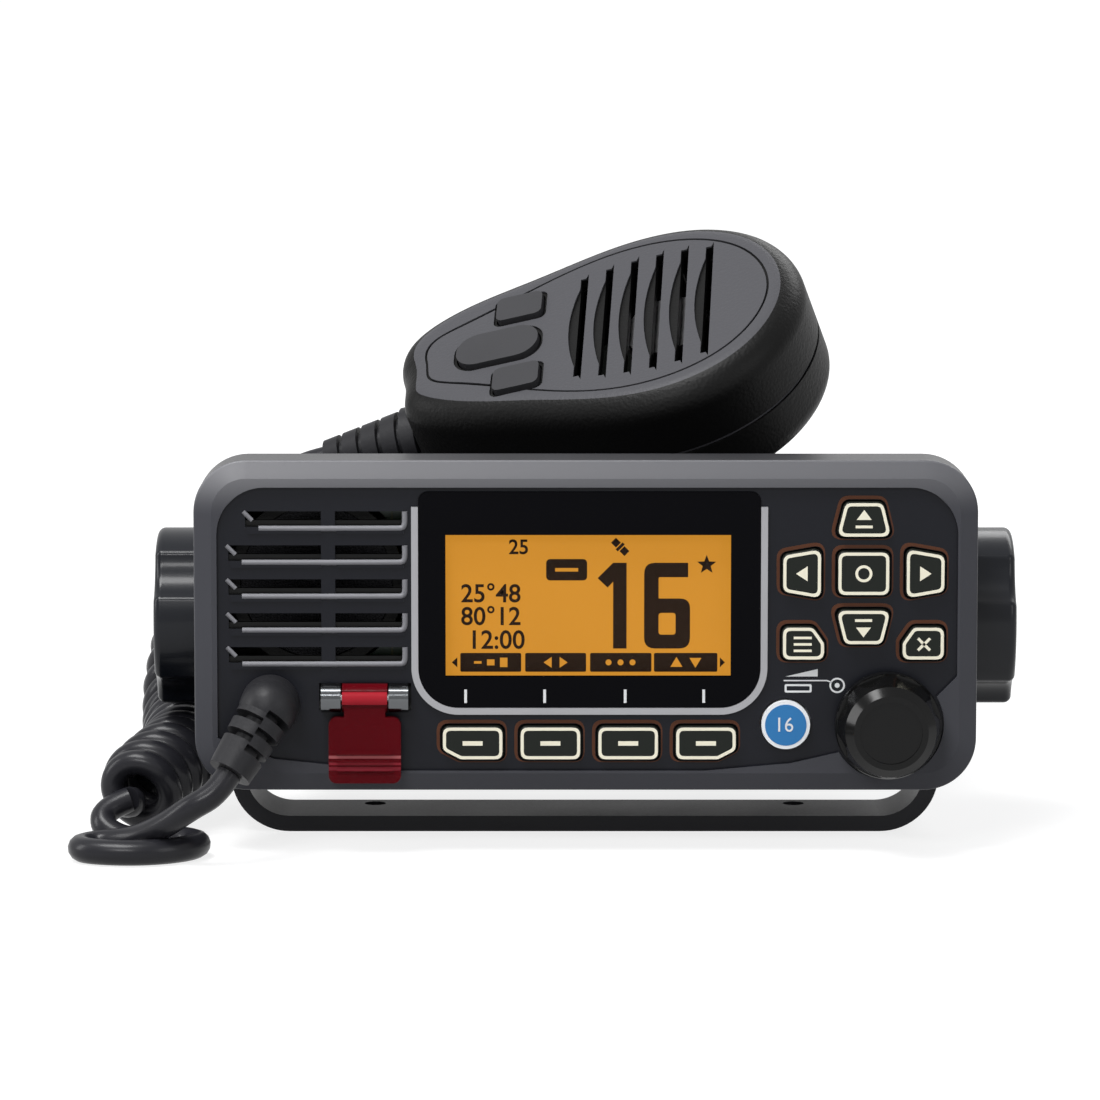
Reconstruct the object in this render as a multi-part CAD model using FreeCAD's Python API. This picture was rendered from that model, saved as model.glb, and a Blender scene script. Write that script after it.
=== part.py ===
"""Fixed-mount VHF marine radio with a fist microphone, built piece by piece.

Millimetres. The origin is the centre of the bracket's base underside, +Z up, the
front panel faces -Y and +X is to the right of a person who faces the panel.
Depths are counted from the front panel's front plane, positive towards the back.
"""
import FreeCAD
import Part
import math
import os

V = FreeCAD.Vector

# ---- driving dimensions -------------------------------------------------
FIT = 0.05            # radial clearance of a shaft in its hole
GAP = 0.3             # clearance around pieces that move

# bracket
STRAP_W = 20.0        # front to back
STRAP_T = 3.2
BRACKET_CORNER = 12.0
ARM_HEAD_R = 12.0     # rounded top of each arm
PIVOT_Z = 43.5
BASE_HOLE_X = 43.5
BASE_HOLE_BACK = 5.5  # holes lie behind the strap's middle line
BASE_HOLE_R = 2.25
STUD_R = 2.5
WASHER_R = 10.0
WASHER_T = 2.4        # pressed between the chassis and an arm

# front panel
PANEL_H = 66.5
PANEL_Z = 46.2        # height of the panel's centre
PANEL_FRONT = -37.5   # y of the front plane
PANEL_DEPTH = 14.0
PANEL_CORNER = 10.5
PANEL_WALL = 2.5
PANEL_EDGE = 0.6
BORDER_W = 3.6        # sloping outer border of the front
BORDER_D = 1.2
RECESS_D = 1.0
SKIN_T = 2.5
RECESS_TOP = 27.9
RECESS_BOTTOM = -29.1
RECESS_CORNER = 9.5
GASKET_T = 1.2

# chassis
BODY_HALF = 67.0
BODY_TOP = 64.0
BODY_BOTTOM = 18.0
BODY_WALL = 3.0
BODY_CORNER = 9.0
BODY_DEPTH = 82.0     # flange to the rear wall's outside
FLANGE_T = 3.0
FLANGE_LAP = 2.0      # flange stops short of the panel's outline
FIN_L = 12.9
FIN_T = 2.2
FIN_PITCH = 8.4
FIN_N = 15
FIN_H = 18.0
SCREW_Z = 25.5
SCREW_R = 1.5
SCREW_BOSS_R = 3.2

# display
WIN_L = -33.4
WIN_R = 34.9
WIN_TOP = 27.0
WIN_BOTTOM = -16.4
WIN_CORNER = 8.0
WIN_T = 1.6
RIM_W = 1.4
RIM_H = 0.9
LCD_W = 57.0
LCD_H = 28.5
LCD_X = 0.5
LCD_Z = 4.1
LCD_T = 3.0
LIGHT_T = 1.5

# speaker
SLOT_N = 5
SLOT_PITCH = 6.83
SLOT_TOP_Z = 22.1
SLOT_H = 1.9
SLOT_L = -71.3
SLOT_L_TOP = -67.9
SLOT_R = -36.3
RIB_X = -51.4
RIB_W = 2.8
SPEAKER_X = -53.8
SPEAKER_Z = 8.5
SPEAKER_R = 17.5
SPEAKER_DEPTH = 11.0

# keys
KEY_OUT = 1.6         # how far a key stands out of the recess floor
KEY_TRAVEL = 0.8
KEY_FLANGE = 0.8
KEY_FLANGE_T = 1.0
KEY_CORNER = 1.5
SOFT_X = -22.6
SOFT_PITCH = 15.55
SOFT_N = 4
SOFT_W = 12.4
SOFT_H = 6.9
SOFT_Z = -23.5
NAV_X = 55.4
NAV_Z = 10.7
ENTER_W = 10.6
ENTER_H = 9.0
CALL_X = 40.0
CALL_Z = -19.8
CALL_R = 4.85
MAT_T = 1.0
SWITCH_R = 1.8
SWITCH_T = 1.4
BOARD_T = 1.6

# volume knob
KNOB_X = 60.4
KNOB_Z = -19.7
KNOB_R = 10.65
KNOB_OUT = 12.3
KNOB_FACE_R = 7.4
KNOB_DISH_R = 6.2
KNOB_GRIPS = 8
SHAFT_R = 3.0
KNOB_PUSH = 0.5
ENCODER_W = 12.0

# distress cover and its key
COVER_X = -44.1
COVER_W = 14.4
COVER_TOP = -17.9
COVER_BOTTOM = -31.2
COVER_T = 2.0
HINGE_Z = -14.3
HINGE_OUT = 0.6       # hinge axis in front of the panel's front plane
HINGE_R = 2.9
HINGE_BARREL = 9.0
HINGE_PIN_R = 0.8
CAP_W = 3.9
ALERT_W = 9.0
ALERT_H = 7.6
ALERT_Z = -24.2

# clamp knobs
CLAMP_R = 18.1
CLAMP_T = 15.0
CLAMP_LOBES = 4
CLAMP_NOTCH_R = 10.0
CLAMP_NOTCH_D = 2.2
CLAMP_CORNER_R = 1.6
CLAMP_EDGE_R = 1.5

# handset
MIC_L = 88.0
MIC_W = 60.6
MIC_TAIL_W = 31.0
MIC_FRONT_T = 14.6
MIC_REAR_T = 13.0
MIC_WALL = 2.2
MIC_FRONT_ROUND = 6.0
MIC_REAR_ROUND = 5.0
MIC_SLOT_N = 6
MIC_SLOT_PITCH = 5.5
MIC_SLOT_W = 1.7
MIC_SLOT_A = 10.5     # middle of the slots along the handset
MIC_X = 6.9
MIC_Y = 26.6
MIC_REST = 0.25       # air under the resting handset
MIC_U = V(0.950, -0.211, 0.230)
MIC_V = V(0.055, 0.838, 0.543)

# cord
CORD_R = 2.6
COIL_R = 9.5

# worked out from the chassis, which the bracket and the panel fit round
BRACKET_HALF = BODY_HALF + WASHER_T + STRAP_T
SCREW_X = BODY_HALF + 4.5
PANEL_W = 2 * (SCREW_X + 6.75)
RECESS_L = 4.65 - PANEL_W / 2
RECESS_R = PANEL_W / 2 - 4.05
SKIN_BACK = RECESS_D + SKIN_T

# depths of the keys and what lies behind them
KEY_FRONT = RECESS_D - KEY_OUT
FLANGE_FRONT = SKIN_BACK + GAP
KEY_BACK = FLANGE_FRONT + KEY_FLANGE_T
MAT_FRONT = KEY_BACK + KEY_TRAVEL + GAP
SWITCH_FRONT = MAT_FRONT + MAT_T
BOARD_FRONT = SWITCH_FRONT + SWITCH_T
BOARD_BOSSES = [(-33.2, -25.5), (34.2, -25.8), (43.6, 21.8), (67.0, 20.6)]
WIN_FRONT = RECESS_D - 0.6
WIN_BACK = WIN_FRONT + WIN_T

# volume control
KNOB_BACK = RECESS_D - KNOB_PUSH - 0.3
KNOB_POCKET = 0.6     # clearance round the knob where the border would meet it
PLUNGER_T = 0.9
SHAFT_BACK = BOARD_FRONT - 0.8 - KNOB_PUSH - PLUNGER_T

# hinge of the cover
HINGE_D = -HINGE_OUT
COVER_BACK = HINGE_D - 0.4

# boot of the cord on the panel
BOOT_X = -63.1
BOOT_Z = -15.7
BOOT_HEAD = V(BOOT_X, PANEL_FRONT - 6.0, PANEL_Z + BOOT_Z)
BOOT_MOUTH = V(-70.6, PANEL_FRONT - 12.0, PANEL_Z - 27.6)
BOOT_HEAD_R = 5.9
BOOT_MOUTH_R = 4.5
BOOT_NECK_R = 4.0
BOOT_SLOTS = (0.10, 0.23, 0.36, 0.49, 0.62)     # along the stem, on alternate sides
BOOT_SLOT_W = 1.5
LEAD_OFF = 0.2        # a lead starts this far off its boot
LEAD_RUN = 5.0        # and runs straight this far

# depths and places of the chassis and what it holds
FLANGE_D = PANEL_DEPTH + GASKET_T
BODY_FRONT = FLANGE_D + FLANGE_T
BODY_BACK = FLANGE_D + BODY_DEPTH
TOE = 10.0            # sloping lower rear edge
PIVOT_BOSS_L = 6.0
SCREW_HEAD_R = 2.8
SCREW_HEAD_T = 2.2
MAIN_BOARD_Z = BODY_BOTTOM + BODY_WALL + 6.0
SOCKET_Z = BODY_BOTTOM + 14.0
ANTENNA_X = 36.0
POWER_X = -12.0
DATA_X = -42.0

# handset, in its own frame: a runs from the cord to the head, b across, c out of the grille
SEAL_T = 0.8
MIC_KEY_OUT = 1.0
MIC_POSTS = [(-35.0, 6.5), (-35.0, -6.5), (23.0, 20.0), (23.0, -20.0)]
MIC_BOARD_C = -2.4
MIC_FACE_INSET = 6.4  # groove round the flat face
MIC_GROOVE = 0.5
LEAF_D = 0.6          # shallow hollow beside each slot
LEAF_W = 1.9
KEY_POCKET_W = 0.8       # shallow pocket round each key
KEY_POCKET_D = 0.45
PTT_A0 = -20.0
PTT_A1 = 14.0
PTT_OUT = 2.2
PTT_HALF_C = 5.5
ROCKER_PIN_C = 11.6
ROCKER_PIN_R = 1.2
MIC_BOOT_C = -4.5
MIC_BOOT_L = 22.0
MIC_BOOT_HOLE_R = 4.4

os.makedirs("parts", exist_ok=True)


# ---- helpers ------------------------------------------------------------
def depth(value):
    """Y of a depth behind the front plane."""
    return PANEL_FRONT + value


def up(value):
    """Z of a height above the panel's centre."""
    return PANEL_Z + value


def box(x0, x1, y0, y1, z0, z1):
    return Part.makeBox(x1 - x0, y1 - y0, z1 - z0, V(x0, y0, z0))


def rod_x(x0, x1, y, z, r):
    return Part.makeCylinder(r, x1 - x0, V(x0, y, z), V(1, 0, 0))


def rod_y(x, z, d0, d1, r):
    """Cylinder across the panel between two depths; z is above the panel's centre."""
    return Part.makeCylinder(r, d1 - d0, V(x, depth(d0), up(z)), V(0, 1, 0))


def rod_z(x, y, z0, z1, r):
    return Part.makeCylinder(r, z1 - z0, V(x, y, z0), V(0, 0, 1))


def round_edges(solid, direction, r):
    """Fillet every straight edge that runs along the direction."""
    picked = []
    for edge in solid.Edges:
        if isinstance(edge.Curve, Part.Line) and abs(abs(edge.Curve.Direction.dot(direction)) - 1) < 1e-6:
            picked.append(edge)
    return solid.makeFillet(r, picked)


def slab(points, d0, d1, r=0.0):
    """Outline given as (x, z above the panel's centre), between two depths."""
    corners = [V(x, depth(d0), up(z)) for x, z in points]
    face = Part.Face(Part.makePolygon(corners + corners[:1]))
    solid = face.extrude(V(0, d1 - d0, 0))
    if r > 0:
        solid = round_edges(solid, V(0, 1, 0), r)
    return solid


def plate(x0, x1, z0, z1, d0, d1, r=0.0):
    return slab([(x0, z0), (x1, z0), (x1, z1), (x0, z1)], d0, d1, r)


def grown(points, amount):
    """Outline moved out by an amount on every side, corner by corner."""
    count = len(points)
    area = sum(points[i][0] * points[(i + 1) % count][1] - points[(i + 1) % count][0] * points[i][1]
               for i in range(count))
    side = 1.0 if area > 0 else -1.0
    out = []
    for i in range(count):
        (ax, az), (bx, bz), (cx, cz) = points[i - 1], points[i], points[(i + 1) % count]
        n1 = _normal(ax, az, bx, bz, side)
        n2 = _normal(bx, bz, cx, cz, side)
        k = amount / (1 + n1[0] * n2[0] + n1[1] * n2[1])
        out.append((bx + (n1[0] + n2[0]) * k, bz + (n1[1] + n2[1]) * k))
    return out


def _normal(ax, az, bx, bz, side):
    length = math.hypot(bx - ax, bz - az)
    return (side * (bz - az) / length, -side * (bx - ax) / length)


def revolve_y(profile, x, z):
    """Lathe profile of (radius, depth) about a line through the panel."""
    points = [V(x + r, depth(d), up(z)) for r, d in profile]
    face = Part.Face(Part.makePolygon(points + points[:1]))
    return face.revolve(V(x, 0, up(z)), V(0, 1, 0), 360)


def save(name, shape):
    if isinstance(shape, list):
        shape = Part.makeCompound(shape)
    shape.exportStep("parts/" + name + ".step")


# ---- bracket ------------------------------------------------------------
def make_bracket():
    half, top = BRACKET_HALF, PIVOT_Z + ARM_HEAD_R
    y0, y1 = -STRAP_W / 2, STRAP_W / 2
    outer = round_low(box(-half, half, y0, y1, 0, top), BRACKET_CORNER)
    inner_half = half - STRAP_T
    inner = round_low(box(-inner_half, inner_half, y0 - 1, y1 + 1, STRAP_T, top + 5),
                      BRACKET_CORNER - STRAP_T)
    strap = outer.cut(inner)
    head = rod_x(-half - 1, half + 1, 0, PIVOT_Z, ARM_HEAD_R)
    above = box(-half - 1, half + 1, y0 - 1, y1 + 1, PIVOT_Z, top + 1)
    strap = strap.cut(above.cut(head))
    strap = strap.cut(rod_x(-half - 1, half + 1, 0, PIVOT_Z, STUD_R + FIT))
    for side in (-1, 1):
        strap = strap.cut(rod_z(side * BASE_HOLE_X, BASE_HOLE_BACK, -1, STRAP_T + 1, BASE_HOLE_R))
    return strap


def round_low(solid, r):
    """Round the two lower edges that run front to back."""
    low = solid.BoundBox.ZMin
    picked = [e for e in solid.Edges
              if abs(e.BoundBox.ZMax - low) < 1e-6 and e.BoundBox.YLength > e.BoundBox.XLength]
    return solid.makeFillet(r, picked)


def make_washers():
    rings = []
    for side in (-1, 1):
        x0, x1 = sorted((side * (BODY_HALF + 2 * FIT), side * (BODY_HALF + WASHER_T)))
        ring = rod_x(x0, x1, 0, PIVOT_Z, WASHER_R)
        rings.append(ring.cut(rod_x(x0 - 1, x1 + 1, 0, PIVOT_Z, STUD_R + 2 * FIT)))
    return rings


def make_clamp_knob(side, turn):
    """Lobed clamp knob outside one arm, with rounded edges and a dished outer face."""
    x0 = BRACKET_HALF + 0.2
    x1 = x0 + CLAMP_T
    core = rod_x(x0, x1, 0, PIVOT_Z, CLAMP_R)
    reach = CLAMP_R - CLAMP_NOTCH_D + CLAMP_NOTCH_R
    for i in range(CLAMP_LOBES):
        a = math.radians(turn) + 2 * math.pi * i / CLAMP_LOBES
        y, z = reach * math.cos(a), PIVOT_Z + reach * math.sin(a)
        core = core.cut(rod_x(x0 - 1, x1 + 1, y, z, CLAMP_NOTCH_R))
    corners = [e for e in core.Edges if e.BoundBox.XLength > CLAMP_T - 0.1 and e.BoundBox.ZLength < 0.1]
    core = core.makeFillet(CLAMP_CORNER_R, corners)
    rim = [e for e in core.Edges if e.BoundBox.XMin > x1 - 0.01]
    core = core.makeFillet(CLAMP_EDGE_R, rim)
    core = core.cut(rod_x(x1 - 1.2, x1 + 1, 0, PIVOT_Z, CLAMP_R * 0.62))
    core = core.cut(rod_x(x0 - 1, x1 - 4, 0, PIVOT_Z, STUD_R))
    return core.mirror(V(0, 0, 0), V(1, 0, 0)) if side < 0 else core


def make_clamp_stud(side):
    x0 = BODY_HALF - BODY_WALL - PIVOT_BOSS_L + 1.0
    x1 = BRACKET_HALF + 0.2 + CLAMP_T - 4.0
    stud = rod_x(x0, x1, 0, PIVOT_Z, STUD_R)
    return stud.mirror(V(0, 0, 0), V(1, 0, 0)) if side < 0 else stud


# ---- outlines shared by the panel, its keys and the mat ------------------
def key_outlines():
    """Plan outline of every flat key, by node name."""
    keys = {}
    for i in range(SOFT_N):
        x = SOFT_X + i * SOFT_PITCH
        x0, x1 = x - SOFT_W / 2, x + SOFT_W / 2
        z0, z1 = SOFT_Z - SOFT_H / 2, SOFT_Z + SOFT_H / 2
        slant_x, slant_z = SOFT_W * 0.3, SOFT_H * 0.28
        points = [(x0, z0), (x1, z0), (x1, z1), (x0, z1)]
        if i == 0:
            points = [(x0, z0 + slant_z), (x0 + slant_x, z0)] + points[1:]
        if i == SOFT_N - 1:
            points = points[:1] + [(x1 - slant_x, z0), (x1, z0 + slant_z)] + points[2:]
        keys["soft_key_%d" % (i + 1)] = points
    half_w, half_h = ENTER_W / 2, ENTER_H / 2
    step = 2.7            # land between the middle key and its neighbours
    arrow = 7.2           # height of the up and down keys
    keys["enter_key"] = rectangle(NAV_X, NAV_Z, ENTER_W, ENTER_H)
    up_key = [(-half_w - 0.4, half_h + step), (half_w + 0.4, half_h + step),
              (half_w - 1.4, half_h + step + arrow), (1.4 - half_w, half_h + step + arrow)]
    keys["channel_up_key"] = [(NAV_X + x, NAV_Z + z) for x, z in up_key]
    keys["channel_down_key"] = [(NAV_X + x, NAV_Z - z) for x, z in reversed(up_key)]
    inner, outer = half_w + step + 0.3, half_w + step + 8.3
    left = [(-outer, -half_h + 0.7), (-inner, -half_h - 0.7), (-inner, half_h + 0.7), (-outer, half_h - 0.7)]
    keys["left_key"] = [(NAV_X + x, NAV_Z + z) for x, z in left]
    keys["right_key"] = [(NAV_X - x, NAV_Z + z) for x, z in reversed(left)]
    low = NAV_Z - half_h - 13.0
    menu = [(-outer, 0.0), (-inner + 0.7, 0.0), (-inner + 0.7, 3.6), (-inner - 1.6, 6.9), (-outer, 6.9)]
    keys["menu_key"] = [(NAV_X + x, low + z) for x, z in menu]
    keys["clear_key"] = [(NAV_X - x, low + z) for x, z in reversed(menu)]
    return keys


def rectangle(x, z, w, h):
    return [(x - w / 2, z - h / 2), (x + w / 2, z - h / 2), (x + w / 2, z + h / 2), (x - w / 2, z + h / 2)]


# ---- front panel --------------------------------------------------------
def make_front_panel():
    half_w, half_h = PANEL_W / 2, PANEL_H / 2
    shell = plate(-half_w, half_w, -half_h, half_h, BORDER_D, PANEL_DEPTH, PANEL_CORNER).fuse(border_slope())
    flat = [e for e in shell.Edges if e.BoundBox.YLength < 1e-6]
    corner = [e for e in flat if abs(e.BoundBox.YMax - depth(BORDER_D)) < 1e-6]
    shell = shell.makeFillet(PANEL_EDGE, corner)
    w = PANEL_WALL
    cavity = plate(-half_w + w, half_w - w, -half_h + w, half_h - w, SKIN_BACK, PANEL_DEPTH + 1,
                   PANEL_CORNER - w)
    shell = shell.cut(cavity).cut(recess())
    bosses = [rod_y(x, z, SKIN_BACK - 0.2, BOARD_FRONT, 2.2) for x, z in BOARD_BOSSES]
    for sx in (-1, 1):
        for sz in (-1, 1):
            bosses.append(rod_y(sx * SCREW_X, sz * SCREW_Z, SKIN_BACK - 0.2, PANEL_DEPTH, SCREW_BOSS_R))
    shell = shell.fuse(bosses)
    for sx in (-1, 1):
        for sz in (-1, 1):
            shell = shell.cut(rod_y(sx * SCREW_X, sz * SCREW_Z, PANEL_DEPTH - 9.0, PANEL_DEPTH + 1, SCREW_R))
    return cut_openings(shell)


def border_slope():
    """Front of the panel, whose border falls back towards the outline."""
    rings = []
    for inset, d in ((BORDER_W, 0.0), (0.0, BORDER_D)):
        half_w, half_h = PANEL_W / 2 - inset, PANEL_H / 2 - inset
        layer = plate(-half_w, half_w, -half_h, half_h, d, d + 1, PANEL_CORNER - inset)
        front = min(layer.Faces, key=lambda face: face.CenterOfMass.y)
        rings.append(front.OuterWire)
    return Part.makeLoft(rings, True, True)


def recess():
    """Shallow field of the panel, with its wave-shaped lower edge."""
    points = [(RECESS_L, RECESS_TOP), (RECESS_L, -22.5), (-62.4, -26.7), (-40.0, RECESS_BOTTOM),
              (24.0, RECESS_BOTTOM), (41.0, -27.6), (51.0, -25.3), (62.0, -22.5), (RECESS_R, -10.0),
              (RECESS_R, RECESS_TOP)]
    solid = slab(points, -1, RECESS_D)
    top = [e for e in solid.Edges if e.BoundBox.YLength > 1 and e.BoundBox.ZMin > up(RECESS_TOP) - 1e-6
           and e.BoundBox.XLength < 1e-6]
    return solid.makeFillet(RECESS_CORNER, top)


def cut_openings(shell):
    keys = key_outlines()
    cuts = [slab(grown(points, GAP), 0, SKIN_BACK + 1, KEY_CORNER) for points in keys.values()]
    cuts.append(rod_y(CALL_X, CALL_Z, 0, SKIN_BACK + 1, CALL_R + GAP))
    cuts.append(window_outline(0.05, 0, WIN_BACK))
    cuts.append(around_lcd(0.6, 0.6, 0, SKIN_BACK + 1))
    cuts.append(rod_y(KNOB_X, KNOB_Z, -1, RECESS_D, KNOB_R + KNOB_POCKET))
    cuts.append(rod_y(KNOB_X, KNOB_Z, 0, SKIN_BACK + 1, SHAFT_R + 0.8))
    cuts.append(rod_y(BOOT_X, BOOT_Z, 0, SKIN_BACK + 1, BOOT_NECK_R))
    cuts.append(slab(rectangle(COVER_X, ALERT_Z, ALERT_W + 2 * GAP, ALERT_H + 2 * GAP), -1, SKIN_BACK + 1,
                     KEY_CORNER))
    trough = COVER_W / 2 + 2.0
    cuts.append(rod_x(COVER_X - trough, COVER_X + trough, depth(HINGE_D), up(HINGE_Z), HINGE_R + GAP))
    for x0, x1, z in slot_places():
        cuts.append(plate(x0, x1, z - SLOT_H / 2, z + SLOT_H / 2, 0, SKIN_BACK + 1))
        cuts.append(plate(x0, x1, z - SLOT_H / 2 - 1.2, z, 0, RECESS_D + 0.9))
    for tool in cuts:
        shell = shell.cut(tool)
    lips = []
    for x0, x1, z in slot_places():
        top = z - SLOT_H / 2 - 1.2
        lips.append(plate(x0 + 0.4, x1, top - 1.4, top, RECESS_D - 0.4, RECESS_D + 0.5))
    return shell.fuse(lips)


def slot_places():
    """Left and right part of every speaker slot: x0, x1, z of the middle."""
    places = []
    for i in range(SLOT_N):
        z = SLOT_TOP_Z - i * SLOT_PITCH
        start = SLOT_L_TOP if i == 0 else SLOT_L
        places.append((start, RIB_X - RIB_W / 2, z))
        places.append((RIB_X + RIB_W / 2, SLOT_R, z))
    return places


def window_outline(extra, d0, d1):
    """Rounded lower corners, small upper corners, grown by an extra."""
    solid = plate(WIN_L - extra, WIN_R + extra, WIN_BOTTOM - extra, WIN_TOP + extra, d0, d1)
    upright = [e for e in solid.Edges if e.BoundBox.XLength < 1e-6 and e.BoundBox.ZLength < 1e-6]
    low = [e for e in upright if e.BoundBox.ZMax < up(0)]
    solid = solid.makeFillet(WIN_CORNER + extra, low)
    upright = [e for e in solid.Edges if e.BoundBox.XLength < 1e-6 and e.BoundBox.ZLength < 1e-6]
    high = [e for e in upright if e.BoundBox.ZMin > up(WIN_TOP) - 1e-6]
    return solid.makeFillet(2.0, high)


def make_window():
    return window_outline(0, WIN_FRONT, WIN_BACK)


def make_window_trim():
    ring = window_outline(RIM_W, RECESS_D - RIM_H, RECESS_D).cut(window_outline(0.05, -2, RECESS_D + 1))
    return ring.cut(plate(WIN_L - 5, WIN_R + 5, WIN_TOP - 3.0, WIN_TOP + 5, -2, 3))


def around_lcd(side, end, d0, d1):
    """Block that stands out beyond the lit area by a margin at its sides and ends."""
    half_w, half_h = LCD_W / 2 + side, LCD_H / 2 + end
    return plate(LCD_X - half_w, LCD_X + half_w, LCD_Z - half_h, LCD_Z + half_h, d0, d1)


def make_lcd():
    return around_lcd(2.5, 2.5, SKIN_BACK, SKIN_BACK + LCD_T)


def make_diffuser():
    return around_lcd(1.5, 2.0, SKIN_BACK + LCD_T, SKIN_BACK + LCD_T + LIGHT_T)


# ---- keys, mat and front board ------------------------------------------
def make_flat_key(points):
    cap = slab(points, KEY_FRONT, KEY_BACK, KEY_CORNER)
    front = [e for e in cap.Edges if abs(e.BoundBox.YMax - depth(KEY_FRONT)) < 1e-6]
    cap = cap.makeFillet(0.5, front)
    return cap.fuse(slab(grown(points, KEY_FLANGE), FLANGE_FRONT, KEY_BACK, KEY_CORNER))


def make_call_key():
    cap = rod_y(CALL_X, CALL_Z, KEY_FRONT, KEY_BACK, CALL_R)
    return cap.fuse(rod_y(CALL_X, CALL_Z, FLANGE_FRONT, KEY_BACK, CALL_R + KEY_FLANGE))


def make_alert_key():
    points = rectangle(COVER_X, ALERT_Z, ALERT_W, ALERT_H)
    return slab(points, KEY_FRONT, KEY_BACK, KEY_CORNER).fuse(
        slab(grown(points, KEY_FLANGE), FLANGE_FRONT, KEY_BACK, KEY_CORNER))


def key_centres():
    centres = []
    for points in key_outlines().values():
        xs, zs = [p[0] for p in points], [p[1] for p in points]
        centres.append(((min(xs) + max(xs)) / 2, (min(zs) + max(zs)) / 2))
    centres.append((CALL_X, CALL_Z))
    centres.append((COVER_X, ALERT_Z))
    return centres


def make_key_mat():
    soft_left = COVER_X - ALERT_W / 2 - 2.0
    mat = plate(soft_left, CALL_X + 7.5, SOFT_Z - 5.0, CALL_Z + 5.5, MAT_FRONT, MAT_FRONT + MAT_T, 2.0)
    nav_left, nav_right = NAV_X - 18.0, NAV_X + 17.6
    mat = mat.fuse(plate(nav_left, nav_right, NAV_Z - 20.0, NAV_Z + 15.5, MAT_FRONT, MAT_FRONT + MAT_T, 2.0))
    mat = mat.fuse(plate(nav_left, CALL_X + 7.5, SOFT_Z, NAV_Z, MAT_FRONT, MAT_FRONT + MAT_T))
    holes = [(x, z, 2.6) for x, z in BOARD_BOSSES]
    holes += [(SCREW_X, side * SCREW_Z, SCREW_BOSS_R + 0.4) for side in (-1, 1)]
    for x, z, r in holes:
        mat = mat.cut(rod_y(x, z, MAT_FRONT - 1, MAT_FRONT + MAT_T + 1, r))
    return mat.removeSplitter()


def make_key_switches():
    return [rod_y(x, z, SWITCH_FRONT, BOARD_FRONT, SWITCH_R) for x, z in key_centres()]


def make_front_board():
    board = plate(COVER_X - ALERT_W / 2 - 2.0, 73.0, -29.0, 27.0, BOARD_FRONT, BOARD_FRONT + BOARD_T)
    corner = SCREW_X - 3.7
    board = board.cut(plate(corner, 80, SCREW_Z - 3.7, 30, BOARD_FRONT - 1, BOARD_FRONT + BOARD_T + 1))
    board = board.cut(plate(corner, 80, -30, -SCREW_Z + 3.7, BOARD_FRONT - 1, BOARD_FRONT + BOARD_T + 1))
    speaker_room = rod_y(SPEAKER_X, SPEAKER_Z, BOARD_FRONT - 1, BOARD_FRONT + BOARD_T + 1, SPEAKER_R + 1.0)
    return board.cut(speaker_room)


# ---- speaker ------------------------------------------------------------
def make_speaker_frame():
    d0, r = SKIN_BACK, SPEAKER_R
    magnet_r, magnet_d = r * 0.5, 6.0
    back = d0 + SPEAKER_DEPTH
    profile = [(r, d0), (r, d0 + 1.5), (magnet_r + 1.5, back - magnet_d), (magnet_r, back - magnet_d),
               (magnet_r, back), (0, back), (0, back - magnet_d), (magnet_r - 1.5, back - magnet_d),
               (r - 2.2, d0 + 1.5), (r - 2.2, d0)]
    return revolve_y(profile, SPEAKER_X, SPEAKER_Z)


def make_speaker_cone():
    d0, r = SKIN_BACK + 0.6, SPEAKER_R - 2.4
    profile = [(r, d0), (r, d0 + 0.5), (4.0, d0 + 3.5), (0, d0 + 2.0), (0, d0 + 1.5), (4.0, d0 + 3.0)]
    return revolve_y(profile, SPEAKER_X, SPEAKER_Z)


# ---- volume knob --------------------------------------------------------
def make_volume_knob():
    profile = [(0, -KNOB_OUT + 0.5), (KNOB_DISH_R, -KNOB_OUT + 0.5), (KNOB_DISH_R, -KNOB_OUT),
               (KNOB_FACE_R, -KNOB_OUT), (KNOB_R - 1.6, -KNOB_OUT + 1.8), (KNOB_R - 0.4, -4.0),
               (KNOB_R, -3.2), (KNOB_R, KNOB_BACK), (0, KNOB_BACK)]
    knob = revolve_y(profile, KNOB_X, KNOB_Z)
    for i in range(KNOB_GRIPS):
        a = 2 * math.pi * (i + 0.5) / KNOB_GRIPS
        reach = KNOB_R + 5.2
        knob = knob.cut(rod_y(KNOB_X + reach * math.cos(a), KNOB_Z + reach * math.sin(a),
                              -KNOB_OUT - 1, -3.6, 6.4))
    return knob.cut(rod_y(KNOB_X, KNOB_Z, -KNOB_OUT + 3.0, KNOB_BACK + 1, SHAFT_R))


def make_volume_shaft():
    return rod_y(KNOB_X, KNOB_Z, -KNOB_OUT + 3.0, SHAFT_BACK, SHAFT_R)


def make_volume_plunger():
    return rod_y(KNOB_X, KNOB_Z, SHAFT_BACK, SHAFT_BACK + PLUNGER_T, SHAFT_R)


def make_volume_encoder():
    body = slab(rectangle(KNOB_X, KNOB_Z, ENCODER_W, ENCODER_W), SKIN_BACK + 0.1, BOARD_FRONT, 1.0)
    return body.cut(rod_y(KNOB_X, KNOB_Z, SKIN_BACK - 1, BOARD_FRONT - 0.6, SHAFT_R + FIT))


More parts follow.
